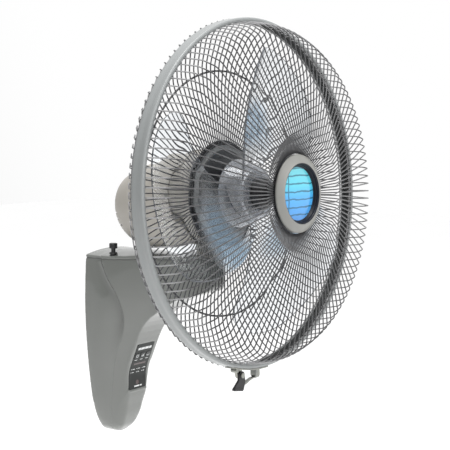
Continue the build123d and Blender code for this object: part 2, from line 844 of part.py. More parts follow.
with BuildPart() as rotor_core:
    with BuildSketch(HEAD.offset(-91.5)):
        Circle(27.7)
        Circle(SHAFT_R, mode=Mode.SUBTRACT)
    extrude(amount=20)
    with BuildSketch(HEAD.offset(-95.5)):
        Circle(24)
        Circle(18.5, mode=Mode.SUBTRACT)
    extrude(amount=27)
finish(rotor_core.part, "rotor_core")

# ---- fan: clear hub and three wide petal blades, clockwise seen from the front -------------
# outline of one blade as (radius, angle, axial place), angles anticlockwise from the front
LEAD = [(32.8, 166, -17), (52, 163, -18.5), (78, 158, -20), (98, 153, -20.5), (120, 147.5, -20.5), (143, 141, -20.3), (160, 139.2, -20), (172, 142.5, -20)]
TRAIL = [(32.8, 264, 0), (47, 256, 7), (70, 245, 14), (94, 237.5, 19), (118, 229.5, 22), (143, 222, 23.5), (165, 216.5, 24), (184, 211, 23)]
TIP = [(172, 142.5), (180, 147.5), (186, 154), (189.4, 163), (190, 174), (190, 186), (190, 197), (188.5, 206), (184, 211)]
NU, NV = 16, 18


def along(table, s):
    """Interpolate a table of equal steps at s in 0..1."""
    x = s * (len(table) - 1)
    i = min(int(x), len(table) - 2)
    f = x - i
    p = [table[max(i - 1, 0)], table[i], table[i + 1], table[min(i + 2, len(table) - 1)]]
    out = []
    for a, b, c, d in zip(*p):
        out.append(0.5 * (2 * b + (c - a) * f + (2 * a - 5 * b + 4 * c - d) * f * f + (3 * b - a - 3 * c + d) * f ** 3))
    return out


def blade_point(u, v):
    """u from hub to tip, v from leading to trailing edge: x, y, z in head coordinates."""
    rl, al, zl = along(LEAD, u)
    rt, at, zt = along(TRAIL, u)
    root_r, root_a = 32.8, 166 + (264 - 166) * v
    tr, ta = along(TIP, v)
    # blend the four edges in radius and angle
    r = (1 - v) * rl + v * rt + (1 - u) * root_r + u * tr
    r -= (1 - u) * ((1 - v) * 32.8 + v * 32.8) + u * ((1 - v) * 172 + v * 184)
    a = (1 - v) * al + v * at + (1 - u) * root_a + u * ta
    a -= (1 - u) * ((1 - v) * 166 + v * 264) + u * ((1 - v) * 142.5 + v * 211)
    curl = (1 - u) * v + u * (0.12 * v + 0.88 * v * v)
    z = zl + (zt - zl) * curl
    a = math.radians(a)
    return (r * math.cos(a), r * math.sin(a), z)


blade_grid = [
    [Vector(*HEAD.from_local_coords(blade_point(i / NU, j / NV))) for j in range(NV + 1)]
    for i in range(NU + 1)
]
blade_face = Face.make_surface_from_array_of_points(blade_grid, tol=0.05)

with BuildPart() as one_blade:
    thicken(blade_face, amount=BLADE_T / 2, both=True)
blade_solid = one_blade.part

with BuildPart() as fan_blades:
    with BuildSketch(HEAD_RZ):
        with BuildLine():
            Polyline(
                (SHAFT_R, -28.0), (9.5, -28.0), (9.5, 2.8), (31.0, 2.8), (36.0, -9.0), (43.2, -27.0), (46.0, -27.0),
                (38.8, -9.0), (34.2, 3.6), (32.5, 6.0), (SHAFT_R, 6.0), close=True,
            )
        make_face()
    revolve(axis=FAN_AXIS)
    for k in range(3):
        add(blade_solid.rotate(FAN_AXIS, 120 * k))
    # the blades end at the wall of the bell-shaped hub
    with BuildSketch(HEAD_RZ):
        with BuildLine():
            Polyline((9.5, -31.0), (9.5, 2.8), (31.0, 2.8), (36.0, -9.0), (43.2, -27.0), (43.2, -31.0), close=True)
        make_face()
    revolve(axis=FAN_AXIS, mode=Mode.SUBTRACT)
    # slot for the drive pin in the back of the hub
    with BuildSketch(HEAD.offset(-29)):
        Rectangle(22, 3.1)
    extrude(amount=4.55, mode=Mode.SUBTRACT)
finish(fan_blades.part, "fan_blades")

with BuildPart() as blade_nut:
    with BuildSketch(HEAD_RZ):
        with BuildLine():
            Polyline(
                (SHAFT_R, 6.0), (20.0, 6.0), (20.6, 9.0), (19.0, 17.0), (14.0, 21.5), (6.0, 23.0),
                (0, 23.2), (0, 20.0), (SHAFT_R, 20.0), close=True,
            )
        make_face()
    revolve(axis=FAN_AXIS)
finish(blade_nut.part, "blade_nut")

# ----------------------------------------------------------------------------
# Guard
# ----------------------------------------------------------------------------
with BuildPart() as rear_guard_plate:
    with BuildSketch(HEAD.offset(-53.2)):
        Circle(71)
        Circle(24.3, mode=Mode.SUBTRACT)
    extrude(amount=1.4)
finish(rear_guard_plate.part, "rear_guard_plate")

with BuildPart() as guard_nut:
    with BuildSketch(HEAD_RZ):
        with BuildLine():
            Polyline(
                (24.05, -51.7), (62.0, -51.7), (62.0, -49.9), (67.5, -49.9), (67.5, -47.5), (64.0, -44.0),
                (40.0, -41.0), (24.05, -40.5), close=True,
            )
        make_face()
    revolve(axis=FAN_AXIS)
finish(guard_nut.part, "guard_nut")

# one wire of each half, in head coordinates, radius along X and fan axis along Z;
# each wire is kept as two butted spans, the rim bend and the straighter run to the centre
REAR_BUTT, FRONT_BUTT = 192.0, 205.0
with BuildPart() as rear_wire:
    with BuildLine(Plane.XZ) as rear_path:
        FilletPolyline(
            (219.8, -9.75), (229.6, -9.75), (206.0, -30.2), (172.0, -46.4), (140.0, -50.95), (63.5, -50.95),
            radius=[1.9, 30, 40, 60],
        )
    with BuildSketch(Plane(origin=rear_path.line @ 0, z_dir=rear_path.line % 0)):
        Circle(WIRE_R)
    sweep(transition=Transition.ROUND)
rear_outer, rear_inner = rear_wire.part.split(Plane.YZ.offset(REAR_BUTT), keep=Keep.BOTH)
rear_spans = [*rear_outer.solids(), *rear_inner.solids()]

with BuildPart() as front_wire:
    with BuildLine(Plane.XZ) as front_path:
        FilletPolyline(
            (218.65, 3.0), (218.65, 12.0), (213.5, 33.0), (202.5, 48.0), (150.0, 61.5), (76.5, 74.4), (66.0, 68.5), (50.4, 64.3),
            radius=[10, 14, 13, 80, 5, 12],
        )
    with BuildSketch(Plane(origin=front_path.line @ 0, z_dir=front_path.line % 0)):
        Circle(WIRE_R)
    sweep(transition=Transition.ROUND)
front_outer, front_inner = front_wire.part.split(Plane.YZ.offset(FRONT_BUTT), keep=Keep.BOTH)
front_spans = [*front_outer.solids(), *front_inner.solids()]


def wire_set(spans, start):
    turned = []
    for k in range(WIRES):
        for span in spans:
            turned.append(HEAD.location * Rot(0, 0, start + 360.0 / WIRES * k) * span)
    return Compound(turned)


finish(wire_set(rear_spans, 0.0), "rear_guard_wires")
finish(wire_set(front_spans, 1.5), "front_guard_wires")


def seat(path, r, wire, side):
    """Axial place of a ring of radius r that lies against the wires, in front (+1) or behind (-1)."""
    reach = WIRE_R + wire + 0.02
    places = []
    for edge in path.edges():
        for i in range(201):
            p = edge @ (i / 200)
            if abs(p.X - r) < reach:
                places.append(p.Z + side * math.sqrt(reach ** 2 - (p.X - r) ** 2))
    return max(places) if side > 0 else min(places)


# the welded rings that hold the wires
SUPPORT_R, SUPPORT_WIRE = 161.5, 1.3
with BuildPart() as rear_support_ring:
    with BuildSketch(HEAD_RZ):
        with Locations((SUPPORT_R, seat(rear_path.line, SUPPORT_R, SUPPORT_WIRE, -1))):
            Circle(SUPPORT_WIRE)
    revolve(axis=FAN_AXIS)
finish(rear_support_ring.part, "rear_support_ring")

with BuildPart() as rear_border_ring:
    with BuildSketch(HEAD_RZ):
        with Locations((224.5, -11.65)):
            Circle(1.0)
    revolve(axis=FAN_AXIS)
finish(rear_border_ring.part, "rear_border_ring")

with BuildPart() as front_border_ring:
    with BuildSketch(HEAD_RZ):
        with Locations((221.2, 4.9)):
            Circle(1.6)
    revolve(axis=FAN_AXIS)
finish(front_border_ring.part, "front_border_ring")

with BuildPart() as guard_band:
    with BuildSketch(HEAD_RZ):
        with BuildLine():
            Polyline(
                (219.6, BAND_HALF), (BAND_R - 1.0, BAND_HALF), (BAND_R, BAND_HALF - 1.2), (BAND_R, -BAND_HALF + 1.2),
                (BAND_R - 1.0, -BAND_HALF), (219.6, -BAND_HALF), (219.6, -BAND_HALF + 1.5), (223.2, -BAND_HALF + 1.5),
                (223.2, BAND_HALF - 1.5), (219.6, BAND_HALF - 1.5), close=True,
            )
        make_face()
    revolve(axis=FAN_AXIS)
finish(guard_band.part, "guard_band")

# ---- centre of the front guard -----------------------------------------------------------
with BuildPart() as emblem_base:
    with BuildSketch(HEAD_RZ):
        with BuildLine():
            Polyline((0, 59.5), (46.0, 59.5), (49.5, 62.5), (49.5, 66.2), (0, 66.2), close=True)
        make_face()
    revolve(axis=FAN_AXIS)
finish(emblem_base.part, "emblem_base")

with BuildPart() as emblem_ring:
    with BuildSketch(HEAD_RZ):
        with BuildLine():
            Polyline((36.4, 66.3), (49.6, 66.3), (49.8, 67.6), (48.8, 69.2), (39.2, 73.6), (37.4, 73.2), (36.4, 70.5), close=True)
        make_face()
    revolve(axis=FAN_AXIS)
finish(emblem_ring.part, "emblem_ring")

with BuildPart() as emblem_lens:
    with BuildSketch(HEAD_RZ):
        with BuildLine():
            Polyline(
                (0, 66.3), (36.0, 66.3), (36.0, 68.4), (33.0, 69.0), (27.0, 69.75), (20.0, 70.35),
                (12.0, 70.75), (0, 70.9), close=True,
            )
        make_face()
    revolve(axis=FAN_AXIS)
finish(emblem_lens.part, "emblem_lens")

# ---- latch under the band: two saddles on the band, a lever and a link over a roll ------------
SADDLE_R = BAND_R + 0.03
LEVER_X, LEVER_Y = -41.0, -230.5      # lever pivot
ROLL_X, ROLL_Y = -8.0, -234.2         # roll that the link hooks under
with BuildPart() as clip_bracket:
    with BuildSketch(HEAD.offset(-8.6)):
        Circle(SADDLE_R + 1.4)
        Circle(SADDLE_R, mode=Mode.SUBTRACT)
        with Locations((-29.5, -222)):
            Rectangle(69, 24, mode=Mode.INTERSECT)
        with Locations((-34.5, -222)):
            Rectangle(1.6, 24, mode=Mode.SUBTRACT)
    extrude(amount=17.2)
    # lug of the lever pivot
    with BuildSketch(HEAD.offset(-7.0)):
        with BuildLine():
            Polyline((-48.5, -220.9), (-36.2, -223.2), (LEVER_X + 4.2, LEVER_Y - 1.0), (LEVER_X - 4.2, LEVER_Y - 1.0), close=True)
        make_face()
        with Locations((LEVER_X, LEVER_Y)):
            Circle(4.3)
        Circle(SADDLE_R + 0.2, mode=Mode.SUBTRACT)
        with Locations((LEVER_X, LEVER_Y)):
            Circle(2.05, mode=Mode.SUBTRACT)
    extrude(amount=4.0)
    # curled end beside the lug, and the roll at the other end
    with BuildSketch(HEAD.offset(-8.0)):
        with Locations((-50.6, -222.7)):
            Circle(2.8)
        with BuildLine():
            Polyline((ROLL_X - 4.2, ROLL_Y), (ROLL_X - 3.4, -225.5), (ROLL_X + 3.8, -225.8), (ROLL_X + 4.2, ROLL_Y), close=True)
        make_face()
        with Locations((ROLL_X, ROLL_Y)):
            Circle(4.2)
        Circle(SADDLE_R + 0.2, mode=Mode.SUBTRACT)
    extrude(amount=9.0)
finish(clip_bracket.part, "clip_bracket")

with BuildPart() as clip_lever:
    with BuildSketch(HEAD.offset(-2.6)):
        with Locations((LEVER_X, LEVER_Y)):
            Circle(5.4)
        with BuildLine():
            Polyline(
                (LEVER_X - 5.4, LEVER_Y), (-46.9, -236.0), (-58.8, -245.8), (-57.8, -247.6), (-40.6, -250.6),
                (-38.9, -249.6), (-34.8, -240.5), (LEVER_X + 5.4, LEVER_Y), close=True,
            )
        make_face()
        with Locations((LEVER_X, LEVER_Y)):
            Circle(2.1, mode=Mode.SUBTRACT)
    extrude(amount=3.4)
    # turned-up rim along the paddle
    with BuildSketch(HEAD.offset(0.8)):
        with BuildLine():
            Polyline((-57.8, -245.7), (-57.2, -247.0), (-40.9, -249.8), (-39.9, -249.0), (-39.3, -247.4), (-56.2, -244.4), close=True)
        make_face()
    extrude(amount=0.8)
finish(clip_lever.part, "clip_lever")

with BuildPart() as clip_link:
    # plate from the back of the lever to the roll, with its end turned under the roll
    with BuildSketch(HEAD.offset(-8.2)):
        with BuildLine():
            Polyline(
                (-37.6, -244.2), (-36.9, -245.8), (-14.0, -239.6), (ROLL_X + 2.4, ROLL_Y - 5.6),
                (ROLL_X + 2.4, ROLL_Y - 4.4), (-13.6, -238.1), close=True,
            )
        make_face()
    extrude(amount=5.55)
    # rib along its front edge, seated on the lever
    with BuildSketch(HEAD.offset(-3.8)):
        with BuildLine():
            Polyline((-37.6, -244.2), (-36.9, -246.4), (-24.0, -242.9), (-24.0, -240.8), close=True)
        make_face()
    extrude(amount=1.18)
finish(clip_link.part, "clip_link")

with BuildPart() as clip_pin:
    with BuildSketch(HEAD.offset(-8.4)):
        with Locations((LEVER_X, LEVER_Y)):
            Circle(3.2)
    extrude(amount=1.38)
    with BuildSketch(HEAD.offset(-8.4)):
        with Locations((LEVER_X, LEVER_Y)):
            Circle(2.03)
    extrude(amount=10.6)
    with BuildSketch(HEAD.offset(1.1)):
        with Locations((LEVER_X, LEVER_Y)):
            Circle(3.4)
    extrude(amount=1.4)
finish(clip_pin.part, "clip_pin")
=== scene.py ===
import json
import math

import bmesh
import bpy
import numpy as np
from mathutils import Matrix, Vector


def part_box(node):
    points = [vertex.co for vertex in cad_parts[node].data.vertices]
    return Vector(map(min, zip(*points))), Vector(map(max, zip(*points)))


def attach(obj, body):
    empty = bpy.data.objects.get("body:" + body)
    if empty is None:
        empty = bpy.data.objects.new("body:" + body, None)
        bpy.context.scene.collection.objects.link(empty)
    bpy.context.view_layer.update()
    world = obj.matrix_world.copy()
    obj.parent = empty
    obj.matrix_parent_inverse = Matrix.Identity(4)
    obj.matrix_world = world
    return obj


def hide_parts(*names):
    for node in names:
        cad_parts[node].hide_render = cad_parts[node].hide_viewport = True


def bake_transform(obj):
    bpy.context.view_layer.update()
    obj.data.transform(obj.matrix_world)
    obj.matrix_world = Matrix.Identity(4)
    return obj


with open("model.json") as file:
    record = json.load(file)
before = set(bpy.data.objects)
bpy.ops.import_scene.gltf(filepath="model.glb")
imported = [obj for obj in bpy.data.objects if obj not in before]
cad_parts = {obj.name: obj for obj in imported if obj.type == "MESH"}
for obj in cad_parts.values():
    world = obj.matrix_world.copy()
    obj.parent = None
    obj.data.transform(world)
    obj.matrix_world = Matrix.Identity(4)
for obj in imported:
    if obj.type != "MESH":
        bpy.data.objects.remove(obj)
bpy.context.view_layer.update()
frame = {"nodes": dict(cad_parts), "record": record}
N = frame["nodes"]
scene = bpy.context.scene
MM = 0.001

# ---------------------------------------------------------------------------
# Shared frame: the head of the fan looks up a little at rest.
# Head coordinates: x across, y up, z forward along the fan axis, millimetres.
# ---------------------------------------------------------------------------
FAN_Y, FAN_Z = -262.0, 210.0
TILT = math.radians(2.3)
CT, ST = math.cos(TILT), math.sin(TILT)


def head(p):
    """Head coordinates in mm, as an (n, 3) array, to the row frame in metres."""
    p = np.asarray(p, dtype=float)
    x, y, z = p[..., 0], p[..., 1], p[..., 2]
    return np.stack([x, FAN_Y + y * ST - z * CT, FAN_Z + y * CT + z * ST], axis=-1) * MM


def mesh_object(name, verts, faces, body, smooth=True, mats=(), face_mat=None):
    me = bpy.data.meshes.new(name)
    me.from_pydata([tuple(map(float, v)) for v in verts], [], [tuple(map(int, f)) for f in faces])
    me.validate()
    me.update()
    for m in mats:
        me.materials.append(m)
    if face_mat is not None:
        me.polygons.foreach_set("material_index", list(face_mat))
    if smooth:
        me.polygons.foreach_set("use_smooth", [True] * len(me.polygons))
    ob = bpy.data.objects.new(name, me)
    scene.collection.objects.link(ob)
    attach(ob, body)
    return ob


# ---------------------------------------------------------------------------
# Materials
# ---------------------------------------------------------------------------
def srgb(r, g, b):
    out = []
    for c in (r, g, b):
        c /= 255.0
        out.append(c / 12.92 if c <= 0.04045 else ((c + 0.055) / 1.055) ** 2.4)
    return out


def material(
    name, color, rough=0.4, metallic=0.0, vary=0.06, vary_scale=14.0, grain=0.0, grain_scale=900.0,
    streak=None, rough_vary=0.08, coat=0.0, coat_rough=0.15, second=None, spec=0.5, orange=0.0, dust_and_painted_shade=0.0,
):
    """Painted, moulded or bare surface: cloudy colour, uneven gloss, fine grain and soft orange peel."""
    m = bpy.data.materials.new(name)
    m.use_nodes = True
    nt = m.node_tree
    nd, ln = nt.nodes, nt.links
    b = nd["Principled BSDF"]
    tc = nd.new("ShaderNodeTexCoord")
    src = tc.outputs["Object"]
    if streak is not None:
        mp = nd.new("ShaderNodeMapping")
        mp.inputs["Scale"].default_value = streak
        ln.new(src, mp.inputs["Vector"])
        src = mp.outputs["Vector"]
    cloud = nd.new("ShaderNodeTexNoise")
    cloud.inputs["Scale"].default_value = vary_scale
    cloud.inputs["Detail"].default_value = 5.0
    cloud.inputs["Roughness"].default_value = 0.6
    ln.new(src, cloud.inputs["Vector"])
    ramp = nd.new("ShaderNodeValToRGB")
    c = list(color)
    lo = [v * (1 - vary) for v in c]
    hi = [min(1.0, v * (1 + vary)) for v in (second or c)]
    ramp.color_ramp.elements[0].position = 0.30
    ramp.color_ramp.elements[0].color = (*lo, 1)
    ramp.color_ramp.elements[1].position = 0.70
    ramp.color_ramp.elements[1].color = (*hi, 1)
    ln.new(cloud.outputs["Fac"], ramp.inputs["Fac"])
    col = ramp.outputs["Color"]
    if dust_and_painted_shade > 0:
        geo = nd.new("ShaderNodeNewGeometry")
        sep = nd.new("ShaderNodeSeparateXYZ")
        ln.new(geo.outputs["Normal"], sep.inputs[0])
        mr = nd.new("ShaderNodeMapRange")
        mr.inputs["From Min"].default_value = 0.2
        mr.inputs["From Max"].default_value = 1.0
        mr.inputs["To Max"].default_value = dust_and_painted_shade
        ln.new(sep.outputs["Z"], mr.inputs["Value"])
        mix = nd.new("ShaderNodeMix")
        mix.data_type = "RGBA"
        ln.new(mr.outputs["Result"], mix.inputs["Factor"])
        ln.new(col, mix.inputs[6])
        mix.inputs[7].default_value = (0.55, 0.54, 0.52, 1)
        col = mix.outputs[2]
    ln.new(col, b.inputs["Base Color"])
    rn = nd.new("ShaderNodeTexNoise")
    rn.inputs["Scale"].default_value = vary_scale * 3.1
    rn.inputs["Detail"].default_value = 6.0
    ln.new(src, rn.inputs["Vector"])
    rr = nd.new("ShaderNodeMapRange")
    rr.inputs["From Min"].default_value = 0.3
    rr.inputs["From Max"].default_value = 0.7
    rr.inputs["To Min"].default_value = max(0.02, rough - rough_vary)
    rr.inputs["To Max"].default_value = min(1.0, rough + rough_vary)
    ln.new(rn.outputs["Fac"], rr.inputs["Value"])
    ln.new(rr.outputs["Result"], b.inputs["Roughness"])
    b.inputs["Metallic"].default_value = metallic
    b.inputs["Specular IOR Level"].default_value = spec
    if coat > 0:
        b.inputs["Coat Weight"].default_value = coat
        b.inputs["Coat Roughness"].default_value = coat_rough
    normal = None
    if grain > 0:
        gn = nd.new("ShaderNodeTexNoise")
        gn.inputs["Scale"].default_value = grain_scale
        gn.inputs["Detail"].default_value = 3.0
        ln.new(src, gn.inputs["Vector"])
        bp = nd.new("ShaderNodeBump")
        bp.inputs["Strength"].default_value = grain
        bp.inputs["Distance"].default_value = 0.0002
        ln.new(gn.outputs["Fac"], bp.inputs["Height"])
        normal = bp
    if orange > 0:
        on = nd.new("ShaderNodeTexNoise")
        on.inputs["Scale"].default_value = 60.0
        on.inputs["Detail"].default_value = 2.0
        ln.new(src, on.inputs["Vector"])
        bo = nd.new("ShaderNodeBump")
        bo.inputs["Strength"].default_value = orange
        bo.inputs["Distance"].default_value = 0.001
        ln.new(on.outputs["Fac"], bo.inputs["Height"])
        if normal is not None:
            ln.new(normal.outputs["Normal"], bo.inputs["Normal"])
        normal = bo
    if normal is not None:
        ln.new(normal.outputs["Normal"], b.inputs["Normal"])
    return m


def axis_polar(nd, ln, src):
    """Radius from the fan axis in metres and angle round it in turns, as node outputs."""
    sub = nd.new("ShaderNodeVectorMath")
    sub.operation = "SUBTRACT"
    sub.inputs[1].default_value = (0, FAN_Y * MM, FAN_Z * MM)
    ln.new(src, sub.inputs[0])
    up = nd.new("ShaderNodeVectorMath")
    up.operation = "DOT_PRODUCT"
    up.inputs[1].default_value = (0, ST, CT)
    ln.new(sub.outputs[0], up.inputs[0])
    sep = nd.new("ShaderNodeSeparateXYZ")
    ln.new(sub.outputs[0], sep.inputs[0])
    x2 = nd.new("ShaderNodeMath")
    x2.operation = "MULTIPLY"
    ln.new(sep.outputs["X"], x2.inputs[0])
    ln.new(sep.outputs["X"], x2.inputs[1])
    r2 = nd.new("ShaderNodeMath")
    r2.operation = "MULTIPLY_ADD"
    ln.new(up.outputs["Value"], r2.inputs[0])
    ln.new(up.outputs["Value"], r2.inputs[1])
    ln.new(x2.outputs[0], r2.inputs[2])
    rad = nd.new("ShaderNodeMath")
    rad.operation = "SQRT"
    ln.new(r2.outputs[0], rad.inputs[0])
    ang = nd.new("ShaderNodeMath")
    ang.operation = "ARCTAN2"
    ln.new(up.outputs["Value"], ang.inputs[0])
    ln.new(sep.outputs["X"], ang.inputs[1])
    turn = nd.new("ShaderNodeMath")
    turn.operation = "DIVIDE"
    turn.inputs[1].default_value = 2 * math.pi
    ln.new(ang.outputs[0], turn.inputs[0])
    return rad.outputs[0], turn.outputs[0]


def guard_steel(name):
    """Dark painted wire with painted highlight: lighter near the centre and lighter still where it is bent over the
    band.
    """
    m = material(name, srgb(54, 54, 56), 0.34, vary=0.12, vary_scale=40, grain=0.12, grain_scale=2500,
                 coat=0.3, coat_rough=0.2, rough_vary=0.08)
    nt = m.node_tree
    nd, ln = nt.nodes, nt.links
    b = nd["Principled BSDF"]
    base = b.inputs["Base Color"].links[0].from_socket
    tc = nd.new("ShaderNodeTexCoord")
    rad, _turn = axis_polar(nd, ln, tc.outputs["Object"])
    # painted highlight: the wire colour is lifted towards light grey by radius from the axis
    ramp = nd.new("ShaderNodeValToRGB")
    e = ramp.color_ramp.elements
    e[0].position, e[0].color = 0.30, (0.05, 0.05, 0.05, 1)
    e[1].position, e[1].color = 1.0, (0.20, 0.20, 0.20, 1)
    mid = e.new(0.46)
    mid.color = (0.0, 0.0, 0.0, 1)
    end = e.new(0.900)
    end.color = (0.0, 0.0, 0.0, 1)
    tip = e.new(0.930)
    tip.color = (0.38, 0.38, 0.38, 1)
    hold = e.new(0.950)
    hold.color = (0.42, 0.42, 0.42, 1)
    loop = e.new(0.962)
    loop.color = (0.16, 0.16, 0.16, 1)
    sc = nd.new("ShaderNodeMath")
    sc.operation = "DIVIDE"
    sc.inputs[1].default_value = 0.2315
    ln.new(rad, sc.inputs[0])
    ln.new(sc.outputs[0], ramp.inputs["Fac"])
    mix = nd.new("ShaderNodeMix")
    mix.data_type = "RGBA"
    ln.new(ramp.outputs["Color"], mix.inputs["Factor"])
    ln.new(base, mix.inputs[6])
    mix.inputs[7].default_value = (0.72, 0.72, 0.73, 1)
    ln.new(mix.outputs[2], b.inputs["Base Color"])
    return m


BLADES = 3
TINT_TURN, TINT_R = 0.615, 0.092


def clear_blade(name):
    """Clear moulded plastic with a smoky blue cloud on each blade."""
    m = bpy.data.materials.new(name)
    m.use_nodes = True
    nt = m.node_tree
    nd, ln = nt.nodes, nt.links
    b = nd["Principled BSDF"]
    tc = nd.new("ShaderNodeTexCoord")
    rad, turn = axis_polar(nd, ln, tc.outputs["Object"])

    def node(op, a, c=None, d=None):
        q = nd.new("ShaderNodeMath")
        q.operation = op
        for i, v in enumerate((a, c, d)):
            if v is None:
                continue
            if isinstance(v, (int, float)):
                q.inputs[i].default_value = v
            else:
                ln.new(v, q.inputs[i])
        return q.outputs[0]

    # distance from the middle of the tinted cloud, repeated for each blade
    one = node("WRAP", node("SUBTRACT", turn, TINT_TURN), 0.5 / BLADES, -0.5 / BLADES)
    along = node("MULTIPLY", node("MULTIPLY", one, 2 * math.pi), rad)
    dr = node("SUBTRACT", rad, TINT_R)
    d2 = node("ADD", node("MULTIPLY", node("MULTIPLY", along, along), 0.42), node("MULTIPLY", node("MULTIPLY", dr, dr), 2.2))
    cloud = nd.new("ShaderNodeTexNoise")
    cloud.inputs["Scale"].default_value = 22.0
    cloud.inputs["Detail"].default_value = 2.0
    ln.new(tc.outputs["Object"], cloud.inputs["Vector"])
    reach = node("ADD", node("SQRT", d2), node("MULTIPLY", node("SUBTRACT", cloud.outputs["Fac"], 0.5), 0.02))
    tint = nd.new("ShaderNodeMapRange")
    tint.interpolation_type = "SMOOTHSTEP"
    tint.inputs["From Min"].default_value = 0.062
    tint.inputs["From Max"].default_value = 0.018
    ln.new(reach, tint.inputs["Value"])
    ramp = nd.new("ShaderNodeValToRGB")
    ramp.color_ramp.elements[0].position = 0.0
    ramp.color_ramp.elements[0].color = (0.93, 0.95, 0.97, 1)
    ramp.color_ramp.elements[1].position = 1.0
    ramp.color_ramp.elements[1].color = (0.47, 0.60, 0.72, 1)
    ln.new(tint.outputs["Result"], ramp.inputs["Fac"])
    ln.new(ramp.outputs["Color"], b.inputs["Base Color"])
    ln.new(node("SUBTRACT", 1.0, node("MULTIPLY", tint.outputs["Result"], 0.30)), b.inputs["Transmission Weight"])
    b.inputs["IOR"].default_value = 1.27
    b.inputs["Roughness"].default_value = 0.0
    return m


def painted_shade_housing(name):
    """The housing plastic, darkened by a per-point attribute as painted shade in its joint and under its lip."""
    m = material(name, srgb(103, 106, 102), 0.36, vary=0.04, vary_scale=7, grain=0.10, grain_scale=1400,
                 second=srgb(106, 108, 105), coat=0.7, coat_rough=0.10, orange=0.02, rough_vary=0.05)
    nt = m.node_tree
    nd, ln = nt.nodes, nt.links
    b = nd["Principled BSDF"]
    base = b.inputs["Base Color"].links[0].from_socket
    at = nd.new("ShaderNodeAttribute")
    at.attribute_name = "dust_and_painted_shade"
    sc = nd.new("ShaderNodeMath")
    sc.operation = "MULTIPLY"
    sc.inputs[1].default_value = 0.62
    ln.new(at.outputs["Fac"], sc.inputs[0])
    mix = nd.new("ShaderNodeMix")
    mix.data_type = "RGBA"
    ln.new(sc.outputs[0], mix.inputs["Factor"])
    ln.new(base, mix.inputs[6])
    # painted shade colour, mixed in by the per-point attribute
    mix.inputs[7].default_value = (0.040, 0.042, 0.038, 1)
    ln.new(mix.outputs[2], b.inputs["Base Color"])
    return m


def clear_hub(name):
    """Thick milky clear plastic of the hub."""
    m = material(name, srgb(204, 208, 214), 0.08, vary=0.03, vary_scale=40, rough_vary=0.03, coat=0.5, coat_rough=0.04)
    b = m.node_tree.nodes["Principled BSDF"]
    b.inputs["Transmission Weight"].default_value = 0.78
    b.inputs["IOR"].default_value = 1.45
    return m


